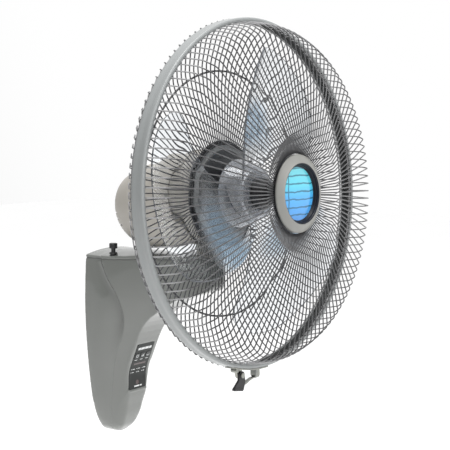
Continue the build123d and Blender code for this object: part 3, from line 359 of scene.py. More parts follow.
def lens_material(name):
    """Glossy blue disc, cyan above and sky blue below, with soft darker bars under the gloss."""
    m = bpy.data.materials.new(name)
    m.use_nodes = True
    nt = m.node_tree
    nd, ln = nt.nodes, nt.links
    b = nd["Principled BSDF"]
    tc = nd.new("ShaderNodeTexCoord")
    sep = nd.new("ShaderNodeSeparateXYZ")
    ln.new(tc.outputs["Object"], sep.inputs[0])
    mr = nd.new("ShaderNodeMapRange")
    mr.inputs["From Min"].default_value = FAN_Z * MM - 0.034
    mr.inputs["From Max"].default_value = FAN_Z * MM + 0.038
    ln.new(sep.outputs["Z"], mr.inputs["Value"])
    ramp = nd.new("ShaderNodeValToRGB")
    e = ramp.color_ramp.elements
    e[0].position = 0.0
    e[0].color = (*srgb(66, 138, 212), 1)
    e[1].position = 1.0
    e[1].color = (*srgb(112, 206, 216), 1)
    mid = ramp.color_ramp.elements.new(0.45)
    mid.color = (*srgb(70, 162, 222), 1)
    up = ramp.color_ramp.elements.new(0.66)
    up.color = (*srgb(84, 194, 216), 1)
    ln.new(mr.outputs["Result"], ramp.inputs["Fac"])
    # wavy darker bars across, as of the wires under the clear cap
    wob = nd.new("ShaderNodeTexNoise")
    wob.inputs["Scale"].default_value = 60.0
    ln.new(tc.outputs["Object"], wob.inputs["Vector"])
    add = nd.new("ShaderNodeMath")
    add.operation = "MULTIPLY_ADD"
    add.inputs[1].default_value = 0.005
    ln.new(wob.outputs["Fac"], add.inputs[0])
    ln.new(sep.outputs["Z"], add.inputs[2])
    sin = nd.new("ShaderNodeMath")
    sin.operation = "MULTIPLY"
    sin.inputs[1].default_value = 2 * math.pi / 0.0098
    ln.new(add.outputs[0], sin.inputs[0])
    s2 = nd.new("ShaderNodeMath")
    s2.operation = "SINE"
    ln.new(sin.outputs[0], s2.inputs[0])
    bar = nd.new("ShaderNodeMapRange")
    bar.inputs["From Min"].default_value = 0.68
    bar.inputs["From Max"].default_value = 0.93
    ln.new(s2.outputs[0], bar.inputs["Value"])
    sc = nd.new("ShaderNodeMath")
    sc.operation = "MULTIPLY"
    sc.inputs[1].default_value = 0.85
    upright = nd.new("ShaderNodeMath")
    upright.operation = "MULTIPLY_ADD"
    upright.inputs[1].default_value = 0.006
    ln.new(wob.outputs["Fac"], upright.inputs[0])
    ln.new(sep.outputs["X"], upright.inputs[2])
    off = nd.new("ShaderNodeMath")
    off.operation = "ADD"
    off.inputs[1].default_value = 0.018
    ln.new(upright.outputs[0], off.inputs[0])
    absx = nd.new("ShaderNodeMath")
    absx.operation = "ABSOLUTE"
    ln.new(off.outputs[0], absx.inputs[0])
    post = nd.new("ShaderNodeMapRange")
    post.inputs["From Min"].default_value = 0.0016
    post.inputs["From Max"].default_value = 0.0007
    ln.new(absx.outputs[0], post.inputs["Value"])
    both = nd.new("ShaderNodeMath")
    both.operation = "MAXIMUM"
    ln.new(bar.outputs["Result"], both.inputs[0])
    ln.new(post.outputs["Result"], both.inputs[1])
    ln.new(both.outputs[0], sc.inputs[0])
    mix = nd.new("ShaderNodeMix")
    mix.data_type = "RGBA"
    ln.new(sc.outputs[0], mix.inputs["Factor"])
    ln.new(ramp.outputs["Color"], mix.inputs[6])
    mix.inputs[7].default_value = (0.01, 0.10, 0.17, 1)
    ln.new(mix.outputs[2], b.inputs["Base Color"])
    b.inputs["Roughness"].default_value = 0.12
    b.inputs["Coat Weight"].default_value = 0.6
    b.inputs["Coat Roughness"].default_value = 0.03
    bp = nd.new("ShaderNodeBump")
    bp.inputs["Strength"].default_value = 0.15
    bp.inputs["Distance"].default_value = 0.002
    ln.new(wob.outputs["Fac"], bp.inputs["Height"])
    ln.new(bp.outputs["Normal"], b.inputs["Normal"])
    return m


HOUSING = material("housing_grey", srgb(103, 106, 102), 0.36, vary=0.04, vary_scale=7, grain=0.10, grain_scale=1400,
                   second=srgb(106, 108, 105), coat=0.7, coat_rough=0.10, orange=0.02, rough_vary=0.05)
BAND = material("band_grey", srgb(138, 141, 141), 0.34, vary=0.04, vary_scale=9, grain=0.06, grain_scale=1500,
                coat=0.2, coat_rough=0.2, orange=0.04, rough_vary=0.05)
MOTOR = material("motor_grey", srgb(158, 154, 147), 0.42, vary=0.05, vary_scale=10, grain=0.14, grain_scale=1200,
                 rough_vary=0.06)
BLACK = material("black_plastic", srgb(24, 24, 26), 0.42, vary=0.18, vary_scale=22, grain=0.3, grain_scale=1600,
                 dust_and_painted_shade=0.02)
PANEL = material("panel_black", srgb(36, 39, 38), 0.4, vary=0.07, vary_scale=30, grain=0.12, grain_scale=2600, spec=0.3)
KEY = material("key_grey", srgb(62, 64, 64), 0.45, vary=0.08, vary_scale=60, grain=0.2, grain_scale=2400)
LAMP = material("lamp_smoke", srgb(48, 20, 20), 0.12, vary=0.2, vary_scale=80, coat=0.6, coat_rough=0.05)
BOARD = material("board_green", srgb(28, 92, 52), 0.4, vary=0.2, vary_scale=120, grain=0.3, grain_scale=900)
PARTBLK = material("part_black", srgb(26, 26, 27), 0.5, vary=0.15, vary_scale=60, grain=0.3, grain_scale=1500)
CORE = material("core_steel", srgb(150, 150, 152), 0.38, metallic=0.9, vary=0.2, vary_scale=30, grain=0.5,
                grain_scale=500, streak=(1, 18, 1))
STEEL = material("steel", srgb(190, 190, 192), 0.28, metallic=1.0, vary=0.1, vary_scale=60, grain=0.15,
                 grain_scale=900, streak=(1, 6, 1))
ZINC = material("zinc", srgb(138, 141, 139), 0.36, metallic=0.75, vary=0.10, vary_scale=70, grain=0.2,
                second=srgb(150, 150, 142))
COPPER = material("copper", srgb(176, 96, 52), 0.35, metallic=0.8, vary=0.25, vary_scale=40, grain=0.8,
                  grain_scale=700, streak=(1, 8, 1))
CAST = material("cast_alu", srgb(172, 173, 175), 0.5, metallic=0.7, vary=0.12, vary_scale=50, grain=0.5,
                grain_scale=800)
NYLON = material("nylon", srgb(226, 223, 210), 0.45, vary=0.05, vary_scale=40, grain=0.15)
RUBBER = material("rubber_black", srgb(28, 28, 28), 0.7, vary=0.2, vary_scale=50, grain=0.4, dust_and_painted_shade=0.05)
EMBLEM = material("emblem_grey", srgb(127, 127, 123), 0.36, vary=0.04, vary_scale=30, grain=0.08, grain_scale=1800,
                  coat=0.15, coat_rough=0.25)
# painted shade: near-black grey for the inner channel faces of the band, where shade falls
BAND_SHADE = material("band_inside_shade", srgb(48, 50, 50), 0.45, vary=0.08, vary_scale=30, grain=0.1, grain_scale=1500)
NUT_GREY = material("nut_grey", srgb(128, 128, 127), 0.45, vary=0.08, vary_scale=30, grain=0.15, grain_scale=1500)
# painted shade: near-black navy on the walls of the recess between the bezel and the blue disc
NAVY = material("recess_navy", srgb(9, 15, 28), 0.35, vary=0.15, vary_scale=60, spec=0.25)
HOUSING_SKIN = painted_shade_housing("housing_skin")
MARK = material("panel_mark", srgb(214, 216, 216), 0.5, vary=0.05, vary_scale=90, grain=0.1)
LENS = lens_material("emblem_blue")
WIRE = guard_steel("guard_steel")
BLADE = clear_blade("blade_clear")
# painted shade: opaque grey on the cut edges of the clear blades, standing in for the dark lines refraction makes there
BLADE_RIM = material("blade_rim", srgb(96, 99, 104), 0.45, vary=0.12, vary_scale=50, grain=0.1)
HUB = clear_hub("hub_clear")

SLOT_MAT = {
    "housing_grey": HOUSING, "guard_steel": WIRE, "band_grey": BAND, "motor_grey": MOTOR, "black_plastic": BLACK,
    "panel_black": PANEL, "key_grey": KEY, "lamp_smoke": LAMP, "board_green": BOARD, "part_black": PARTBLK,
    "core_steel": CORE, "steel": STEEL, "zinc": ZINC, "copper": COPPER, "cast_alu": CAST, "nylon": NYLON,
    "rubber_black": RUBBER, "blade_clear": BLADE, "emblem_grey": EMBLEM, "emblem_blue": LENS,
}
for sub in frame["record"]["subparts"]:
    ob = N[sub["node"]]
    mat = SLOT_MAT[sub["material_slot"]]
    if not ob.data.materials:
        ob.data.materials.append(mat)
    for i in range(len(ob.material_slots)):
        ob.material_slots[i].material = mat


# ---------------------------------------------------------------------------
# Outlines with rounded corners
# ---------------------------------------------------------------------------
def rounded(pts, radii, closed, step=0.12):
    """Points along a polygon or polyline whose corners are arcs."""
    pts = [np.array(p, dtype=float) for p in pts]
    n = len(pts)
    out = []
    for i, p in enumerate(pts):
        r = radii[i] if i < len(radii) else 0
        if (not closed and i in (0, n - 1)) or r <= 0:
            out.append(p)
            continue
        a, b = pts[i - 1], pts[(i + 1) % n]
        la, lb = np.linalg.norm(a - p), np.linalg.norm(b - p)
        v1, v2 = (a - p) / la, (b - p) / lb
        ang = math.acos(max(-1.0, min(1.0, float(v1 @ v2))))
        if ang > math.pi - 1e-3:
            out.append(p)
            continue
        t = min(r / math.tan(ang / 2), 0.495 * la, 0.495 * lb)
        r = t * math.tan(ang / 2)
        c = p + (v1 + v2) / np.linalg.norm(v1 + v2) * (r / math.sin(ang / 2))
        p1, p2 = p + v1 * t, p + v2 * t
        a1 = math.atan2(*(p1 - c)[::-1])
        a2 = math.atan2(*(p2 - c)[::-1])
        d = (a2 - a1 + math.pi) % (2 * math.pi) - math.pi
        k = max(2, int(abs(d) / step) + 1)
        for j in range(k + 1):
            q = a1 + d * j / k
            out.append(c + r * np.array([math.cos(q), math.sin(q)]))
    return np.array(out)


def resample(pts, step):
    """Even points along a polyline."""
    seg = np.linalg.norm(np.diff(pts, axis=0), axis=1)
    s = np.concatenate([[0], np.cumsum(seg)])
    k = max(2, int(s[-1] / step) + 1)
    t = np.linspace(0, s[-1], k)
    return np.stack([np.interp(t, s, pts[:, i]) for i in range(pts.shape[1])], axis=1)


# ---------------------------------------------------------------------------
# Guard wires, rings and turned pieces
# ---------------------------------------------------------------------------
def wires(name, path, radius, count, start, body, mat, sides=10, sway=None):
    """Bent round wires about the fan axis; path holds (radius, axial) points."""
    pts = np.asarray(path, dtype=float)
    tan = np.gradient(pts, axis=0)
    tan /= np.linalg.norm(tan, axis=1)[:, None]
    nor = np.stack([-tan[:, 1], tan[:, 0]], axis=1)
    n = len(pts)
    ang = np.arange(sides) * 2 * math.pi / sides
    rr = pts[:, None, 0] + radius * np.cos(ang)[None] * nor[:, None, 0]
    zz = pts[:, None, 1] + radius * np.cos(ang)[None] * nor[:, None, 1]
    tt = np.broadcast_to(radius * np.sin(ang)[None], rr.shape)
    if sway is not None:
        tt = tt + np.asarray(sway)[:, None]
    verts, faces = [], []
    for k in range(count):
        a = math.radians(start + 360.0 * k / count)
        c, s = math.cos(a), math.sin(a)
        ring = np.stack([rr * c - tt * s, rr * s + tt * c, zz], axis=-1).reshape(-1, 3)
        base = len(verts) and sum(len(v) for v in verts)
        t0 = 0.0 if sway is None else sway[0]
        tips = np.array([[pts[0, 0] * c - t0 * s, pts[0, 0] * s + t0 * c, pts[0, 1]], [pts[-1, 0] * c, pts[-1, 0] * s, pts[-1, 1]]])
        off0 = np.array([tan[0, 0] * c, tan[0, 0] * s, tan[0, 1]]) * radius * 0.5
        off1 = np.array([tan[-1, 0] * c, tan[-1, 0] * s, tan[-1, 1]]) * radius * 0.5
        tips[0] -= off0
        tips[1] += off1
        verts.append(np.concatenate([ring, tips]))
        for i in range(n - 1):
            for j in range(sides):
                j2 = (j + 1) % sides
                faces.append((base + i * sides + j, base + i * sides + j2, base + (i + 1) * sides + j2, base + (i + 1) * sides + j))
        t0, t1 = base + n * sides, base + n * sides + 1
        for j in range(sides):
            j2 = (j + 1) % sides
            faces.append((t0, base + j2, base + j))
            faces.append((t1, base + (n - 1) * sides + j, base + (n - 1) * sides + j2))
    return mesh_object(name, head(np.concatenate(verts)), faces, body, mats=[mat])


def lathe(name, profile, body, mats, segs=192, face_mat=None, closed=True):
    """A turned piece about the fan axis; profile holds (radius, axial) points."""
    pr = np.asarray(profile, dtype=float)
    n = len(pr)
    a = np.arange(segs) * 2 * math.pi / segs
    v = np.stack([
        pr[None, :, 0] * np.cos(a)[:, None], pr[None, :, 0] * np.sin(a)[:, None],
        np.broadcast_to(pr[None, :, 1], (segs, n)),
    ], axis=-1).reshape(-1, 3)
    faces, fm = [], []
    last = n if closed else n - 1
    for i in range(segs):
        i2 = (i + 1) % segs
        for j in range(last):
            j2 = (j + 1) % n
            q = [i * n + j, i * n + j2, i2 * n + j2, i2 * n + j]
            if pr[j, 0] < 1e-6 and pr[j2, 0] < 1e-6:
                continue
            faces.append(tuple(q))
            fm.append(0 if face_mat is None else face_mat[j])
    ob = mesh_object(name, head(v), faces, body, mats=mats, face_mat=fm)
    bm = bmesh.new()
    bm.from_mesh(ob.data)
    bmesh.ops.remove_doubles(bm, verts=bm.verts, dist=1e-6)
    bmesh.ops.recalc_face_normals(bm, faces=bm.faces)
    bm.to_mesh(ob.data)
    bm.free()
    ob.data.polygons.foreach_set("use_smooth", [True] * len(ob.data.polygons))
    return ob


def circle(cr, cz, r, k=14):
    return [(cr + r * math.cos(2 * math.pi * i / k), cz + r * math.sin(2 * math.pi * i / k)) for i in range(k)]


WIRE_R = 0.85
rear_path = rounded(
    [(219.2, -9.75), (226.6, -9.75), (206.0, -30.2), (172.0, -46.4), (140.0, -50.95), (63.5, -50.95)],
    [0, 1.9, 30, 40, 60, 0], False, 0.35)
front_path = rounded(
    [(218.65, 3.0), (218.65, 12.0), (213.5, 33.0), (202.5, 48.0), (150.0, 61.5), (76.5, 74.4), (66.0, 68.5), (50.4, 64.3)],
    [0, 10, 14, 13, 80, 5, 12, 0], False, 0.12)


def densify(p, longest):
    out = [p[0]]
    for a, b in zip(p[:-1], p[1:]):
        k = max(1, int(np.linalg.norm(b - a) / longest))
        out += [a + (b - a) * (i + 1) / k for i in range(k)]
    return np.array(out)


front_wires = wires("front_wire_grille", densify(front_path, 14), WIRE_R, 120, 1.5, "head", WIRE)
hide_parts("front_guard_wires")
# the short arm of each rear wire lies to one side of the long one, so the end is a small open loop
rear_line = densify(rear_path, 3.0)
run = np.concatenate([[0], np.cumsum(np.linalg.norm(np.diff(rear_line, axis=0), axis=1))])
ease = np.clip((run - 4.5) / 13.0, 0, 1)
rear_sway = 7.2 * (1 - ease * ease * (3 - 2 * ease))
rear_wires = wires("rear_wire_grille", rear_line, WIRE_R, 120, 0.0, "head", WIRE, sway=rear_sway)
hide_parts("rear_guard_wires")
rear_rim = lathe("rear_border", circle(221.0, -11.65, 1.0, 12), "head", [WIRE], segs=360)
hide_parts("rear_border_ring")

# the plunger's return spring: it is held in the bracket; the real one shortens as the plunger goes down, this coil is
# built at one fixed length
low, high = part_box("plunger_spring")
coil_x, coil_y, coil_r = (low[0] + high[0]) / 2, (low[1] + high[1]) / 2, (high[0] - low[0]) / 2 - 0.0003
turns, per_turn, sides = 5, 40, 8
coil_v, coil_f = [], []
for i in range(turns * per_turn + 1):
    a = 2 * math.pi * i / per_turn
    z = low[2] + 0.0003 + (high[2] - low[2] - 0.0006) * i / (turns * per_turn)
    for j in range(sides):
        b = 2 * math.pi * j / sides
        r = coil_r + 0.0003 * math.cos(b)
        coil_v.append((coil_x + r * math.cos(a), coil_y + r * math.sin(a), z + 0.0003 * math.sin(b)))
for i in range(turns * per_turn):
    for j in range(sides):
        k = (j + 1) % sides
        coil_f.append((i * sides + j, (i + 1) * sides + j, (i + 1) * sides + k, i * sides + k))
coil_f.append(tuple(range(sides)))
coil_f.append(tuple(reversed(range(turns * per_turn * sides, (turns * per_turn + 1) * sides))))
coil_mesh = bpy.data.meshes.new("return_spring")
coil_mesh.from_pydata(coil_v, [], coil_f)
coil_mesh.validate()
coil_mesh.update()
coil_mesh.polygons.foreach_set("use_smooth", [True] * len(coil_mesh.polygons))
coil_mesh.materials.append(STEEL)
coil = bpy.data.objects.new("return_spring", coil_mesh)
scene.collection.objects.link(coil)
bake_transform(coil)
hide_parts("plunger_spring")

# the inner channel faces carry the painted-shade grey
band = lathe("band_channel", [
    (219.6, 8.8), (223.4, 8.8), (224.2, 8.6), (224.75, 8.0), (225.0, 7.0), (224.95, 5.4), (224.75, 3.8), (224.35, 2.0),
    (224.2, 0.0), (224.35, -2.0), (224.75, -3.8), (224.95, -5.4), (225.0, -7.0), (224.75, -8.0), (224.2, -8.6),
    (223.4, -8.8), (219.6, -8.8), (219.6, -7.3), (223.0, -7.3), (223.2, -7.0), (223.2, 7.0), (223.0, 7.3), (219.6, 7.3),
], "head", [BAND, BAND_SHADE], segs=360, face_mat=[0] * 17 + [1] * 5 + [0])
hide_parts("guard_band")

# the bezel's inner walls take the painted-shade navy
ring = lathe("emblem_bezel", [
    (36.4, 66.4), (49.2, 66.4), (49.6, 66.9), (49.6, 67.8), (49.1, 68.6), (47.8, 69.4), (44.0, 71.4), (40.4, 73.1),
    (39.4, 73.5), (38.4, 73.55), (37.5, 73.2), (37.2, 72.6), (36.6, 72.2), (36.4, 71.6),
], "head", [EMBLEM, NAVY], segs=160, face_mat=[0, 0, 0, 0, 0, 0, 0, 0, 0, 1, 1, 1, 1, 1])
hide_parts("emblem_ring")

# the disc's back, side, raised rim and trough take the painted-shade navy
lens = lathe("emblem_disc", [
    (0.0, 66.35), (36.3, 66.35), (36.35, 70.8), (35.8, 70.8), (35.2, 68.2), (34.7, 66.75), (33.6, 66.6), (31.0, 66.8),
    (24.0, 67.2), (14.0, 67.6), (0.0, 67.8),
], "head", [LENS, NAVY], segs=160, face_mat=[1, 1, 1, 1, 1, 1, 0, 0, 0, 0, 0])
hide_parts("emblem_lens")

nut = lathe("guard_nut_disc", [
    (24.1, -51.6), (62.0, -51.6), (62.2, -50.6), (66.6, -50.5), (67.3, -50.0), (67.5, -49.0), (67.2, -48.2), (66.4, -47.8),
    (65.6, -47.9), (65.1, -48.4), (64.8, -49.2), (64.2, -49.5), (59.0, -49.4), (58.4, -49.2), (58.0, -48.6), (57.5, -47.8),
    (56.4, -47.2), (52.0, -46.7), (46.0, -45.9), (40.0, -44.3), (33.0, -42.0), (28.0, -40.9), (25.0, -40.6), (24.3, -40.9), (24.1, -41.4),
], "head", [BLACK, NUT_GREY], segs=240,
    face_mat=[0] * 10 + [1] * 3 + [0] * 12)
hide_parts("guard_nut")

# ---------------------------------------------------------------------------
# Fan: clear hub and three wide blades on a fine even grid
# ---------------------------------------------------------------------------
LEAD = [(32.8, 166, -17), (52, 163, -18.5), (78, 158, -20), (98, 153, -20.5), (120, 147.5, -20.5), (143, 141, -20.3), (160, 139.2, -20), (172, 142.5, -20)]
TRAIL = [(32.8, 264, 0), (47, 256, 7), (70, 245, 14), (94, 237.5, 19), (118, 229.5, 22), (143, 222, 23.5), (165, 216.5, 24), (184, 211, 23)]
TIP = [(172, 142.5), (180, 147.5), (186, 154), (189.4, 163), (190, 174), (190, 186), (190, 197), (188.5, 206), (184, 211)]
BLADE_T = 2.2


def along(table, s):
    x = s * (len(table) - 1)
    i = min(int(x), len(table) - 2)
    f = x - i
    p = [table[max(i - 1, 0)], table[i], table[i + 1], table[min(i + 2, len(table) - 1)]]
    return [0.5 * (2 * b + (c - a) * f + (2 * a - 5 * b + 4 * c - d) * f * f + (3 * b - a - 3 * c + d) * f ** 3)
            for a, b, c, d in zip(*p)]


def blade_point(u, v):
    rl, al, zl = along(LEAD, u)
    rt, at, zt = along(TRAIL, u)
    root_a = 166 + (264 - 166) * v
    tr, ta = along(TIP, v)
    r = (1 - v) * rl + v * rt + (1 - u) * 32.8 + u * tr - ((1 - u) * 32.8 + u * ((1 - v) * 172 + v * 184))
    a = (1 - v) * al + v * at + (1 - u) * root_a + u * ta
    a -= (1 - u) * ((1 - v) * 166 + v * 264) + u * ((1 - v) * 142.5 + v * 211)
    curl = (1 - u) * v + u * (0.12 * v + 0.88 * v * v)
    a = math.radians(a)
    return (r * math.cos(a), r * math.sin(a), zl + (zt - zl) * curl)


def fan_mesh():
    nu, nv = 46, 60
    grid = np.array([[blade_point(i / nu, j / nv) for j in range(nv + 1)] for i in range(nu + 1)])
    gu, gv = np.gradient(grid, axis=0), np.gradient(grid, axis=1)
    nrm = np.cross(gu, gv)
    nrm /= np.linalg.norm(nrm, axis=-1)[..., None]
    # gentle moulded ripples across each blade
    rad = np.hypot(grid[..., 0], grid[..., 1])
    ang = np.arctan2(grid[..., 1], grid[..., 0])
    ripple = RIPPLE * (np.sin(rad / 7.5 + 1.6 * np.sin(ang * 3.0)) + 0.7 * np.sin(ang * 17.0 + rad / 22.0))
    keep = np.clip((rad - 40) / 20, 0, 1)
    reach = np.interp(grid[..., 2], [-27, -9, 3, 8], [44.6, 37.4, 32.6, 32.6])
    short = np.clip(reach / rad, 1.0, None)
    grid[..., 0] *= short
    grid[..., 1] *= short
    front = grid + nrm * (BLADE_T / 2) + nrm * (ripple * keep)[..., None]
    back = grid - nrm * (BLADE_T / 2)
    m = nu + 1, nv + 1
    loop = [(i, 0) for i in range(nu + 1)] + [(nu, j) for j in range(1, nv + 1)] + [(i, nv) for i in range(nu - 1, -1, -1)] + [(0, j) for j in range(nv - 1, 0, -1)]
    pts = np.concatenate([front.reshape(-1, 3), back.reshape(-1, 3)])
    off = m[0] * m[1]
    faces, rim = [], []
    for i in range(nu):
        for j in range(nv):
            a, b, c, d = i * m[1] + j, (i + 1) * m[1] + j, (i + 1) * m[1] + j + 1, i * m[1] + j + 1
            faces.append((a, b, c, d))
            faces.append((off + d, off + c, off + b, off + a))
            rim += [0, 0]
    # the edge faces take the painted-shade grey
    for (i, j), (i2, j2) in zip(loop, loop[1:] + loop[:1]):
        a, b = i * m[1] + j, i2 * m[1] + j2
        faces.append((b, a, off + a, off + b))
        rim.append(1)
    verts, fs, fm = [], [], []
    for k in range(3):
        q = math.radians(120 * k)
        c, s_ = math.cos(q), math.sin(q)
        v = pts.copy()
        v[:, 0], v[:, 1] = pts[:, 0] * c - pts[:, 1] * s_, pts[:, 0] * s_ + pts[:, 1] * c
        base = 2 * off * k
        verts.append(v)
        fs += [tuple(base + t for t in f) for f in faces]
        fm += rim
    ob = mesh_object("fan_blade_set", head(np.concatenate(verts)), fs, "rotor", mats=[BLADE, BLADE_RIM], face_mat=fm)
    bm = bmesh.new()
    bm.from_mesh(ob.data)
    bmesh.ops.recalc_face_normals(bm, faces=bm.faces)
    for e in bm.edges:
        if len(e.link_faces) == 2 and e.link_faces[0].material_index != e.link_faces[1].material_index:
            e.smooth = False
    bm.to_mesh(ob.data)
    bm.free()
    return ob


RIPPLE = 0.42
HUB_PROFILE = [
    (4.6, -27.8), (9.4, -27.8), (9.4, 2.8), (31.0, 2.8), (33.1, -2.0), (36.0, -9.0), (39.6, -18.0), (43.1, -26.6),
    (43.6, -27.0), (45.2, -27.0), (45.7, -26.6), (45.6, -25.8), (42.4, -18.0), (38.8, -9.0), (36.0, -1.4), (34.2, 3.4),
    (33.6, 4.6), (32.4, 5.7), (31.0, 5.95), (4.6, 5.95),
]
blades = fan_mesh()
hub = lathe("fan_hub", HUB_PROFILE, "rotor", [HUB], segs=160)
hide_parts("fan_blades")
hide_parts("fan_blades")

# ---------------------------------------------------------------------------
# Bracket housings as one smooth distance field, split on the parting line
# ---------------------------------------------------------------------------
STATIONS = np.array([
    (-84, 50.0, 52, 22.5, 132), (-130, 53.5, 50, 22.5, 132), (-172, 54.0, 42, 20.5, 112), (-192, 53.5, 34, 19.5, 88),
    (-218, 51.5, 26, 19.3, 73), (-243, 49.5, 21, 19.2, 62), (-269, 46.5, 18, 19.0, 54), (-292, 43.0, 16, 18.8, 53),
    (-316, 38.8, 14, 17.4, 48), (-334, 32.2, 12, 15.8, 42), (-346, 25.0, 10, 13.8, 36.5), (-356.5, 15.0, 8, 11.0, 30),
], dtype=float)
SIDE = [(6, -84), (-208, -84), (-205.5, -112), (-197, -133), (-140, -150), (-84, -186), (-50.5, -262), (-50.8, -296),
        (-45.2, -326), (-35, -345), (-20, -356), (6, -356)]
SIDE_R = [0.5, 1.0, 14, 16, 60, 90, 60, 40, 36, 24, 12, 0.5]
PARTING = [(-30, -60), (-30, -78), (-30, -97), (-42, -122), (-57, -146), (-63, -172), (-58, -198), (-46, -225),
           (-37, -255), (-31, -290), (-25, -325), (-17, -350), (-10, -378), (-6, -392)]
NECK_Y = -183.0
KNOB = (-42.0, -46.0)
SCREWS = [(-30, -96.5), (30, -96.5), (-12, -322), (12, -322)]


def catmull(pts, per=10):
    p = [np.array(q, dtype=float) for q in pts]
    out = []
    for i in range(len(p) - 1):
        a, b, c, d = p[max(i - 1, 0)], p[i], p[i + 1], p[min(i + 2, len(p) - 1)]
        for k in range(per):
            f = k / per
            out.append(0.5 * (2 * b + (c - a) * f + (2 * a - 5 * b + 4 * c - d) * f * f + (3 * b - a - 3 * c + d) * f ** 3))
    out.append(p[-1])
    return np.array(out)


def polygon_distance(poly, gx, gy):
    """Signed distance to a closed polygon on a grid, negative inside."""
    px, py = np.meshgrid(gx, gy, indexing="ij")
    best = np.full(px.shape, 1e9)
    inside = np.zeros(px.shape, dtype=bool)
    q = np.roll(poly, -1, axis=0)
    for (x1, y1), (x2, y2) in zip(poly, q):
        ex, ey = x2 - x1, y2 - y1
        L = ex * ex + ey * ey
        if L < 1e-12:
            continue
        t = np.clip(((px - x1) * ex + (py - y1) * ey) / L, 0, 1)
        best = np.minimum(best, (px - x1 - t * ex) ** 2 + (py - y1 - t * ey) ** 2)
        if y1 != y2:
            hit = ((y1 > py) != (y2 > py)) & (px < (x2 - x1) * (py - y1) / (y2 - y1) + x1)
            inside ^= hit
    d = np.sqrt(best)
    return np.where(inside, -d, d)


def smax(a, b, k):
    return np.maximum(a, b) + np.maximum(k - np.abs(a - b), 0) ** 2 / (4 * k)


def smin(a, b, k):
    return -smax(-a, -b, k)


def smooth_table(z, tz, tv):
    """Table values with their corners eased, less towards the rounded bottom."""
    reach = np.interp(z, [-352, -300, -275], [3, 9, 24])
    total = np.zeros(len(z))
    for d in np.linspace(-1, 1, 17):
        total += np.interp(z + d * reach, tz, tv)
    return total / 17


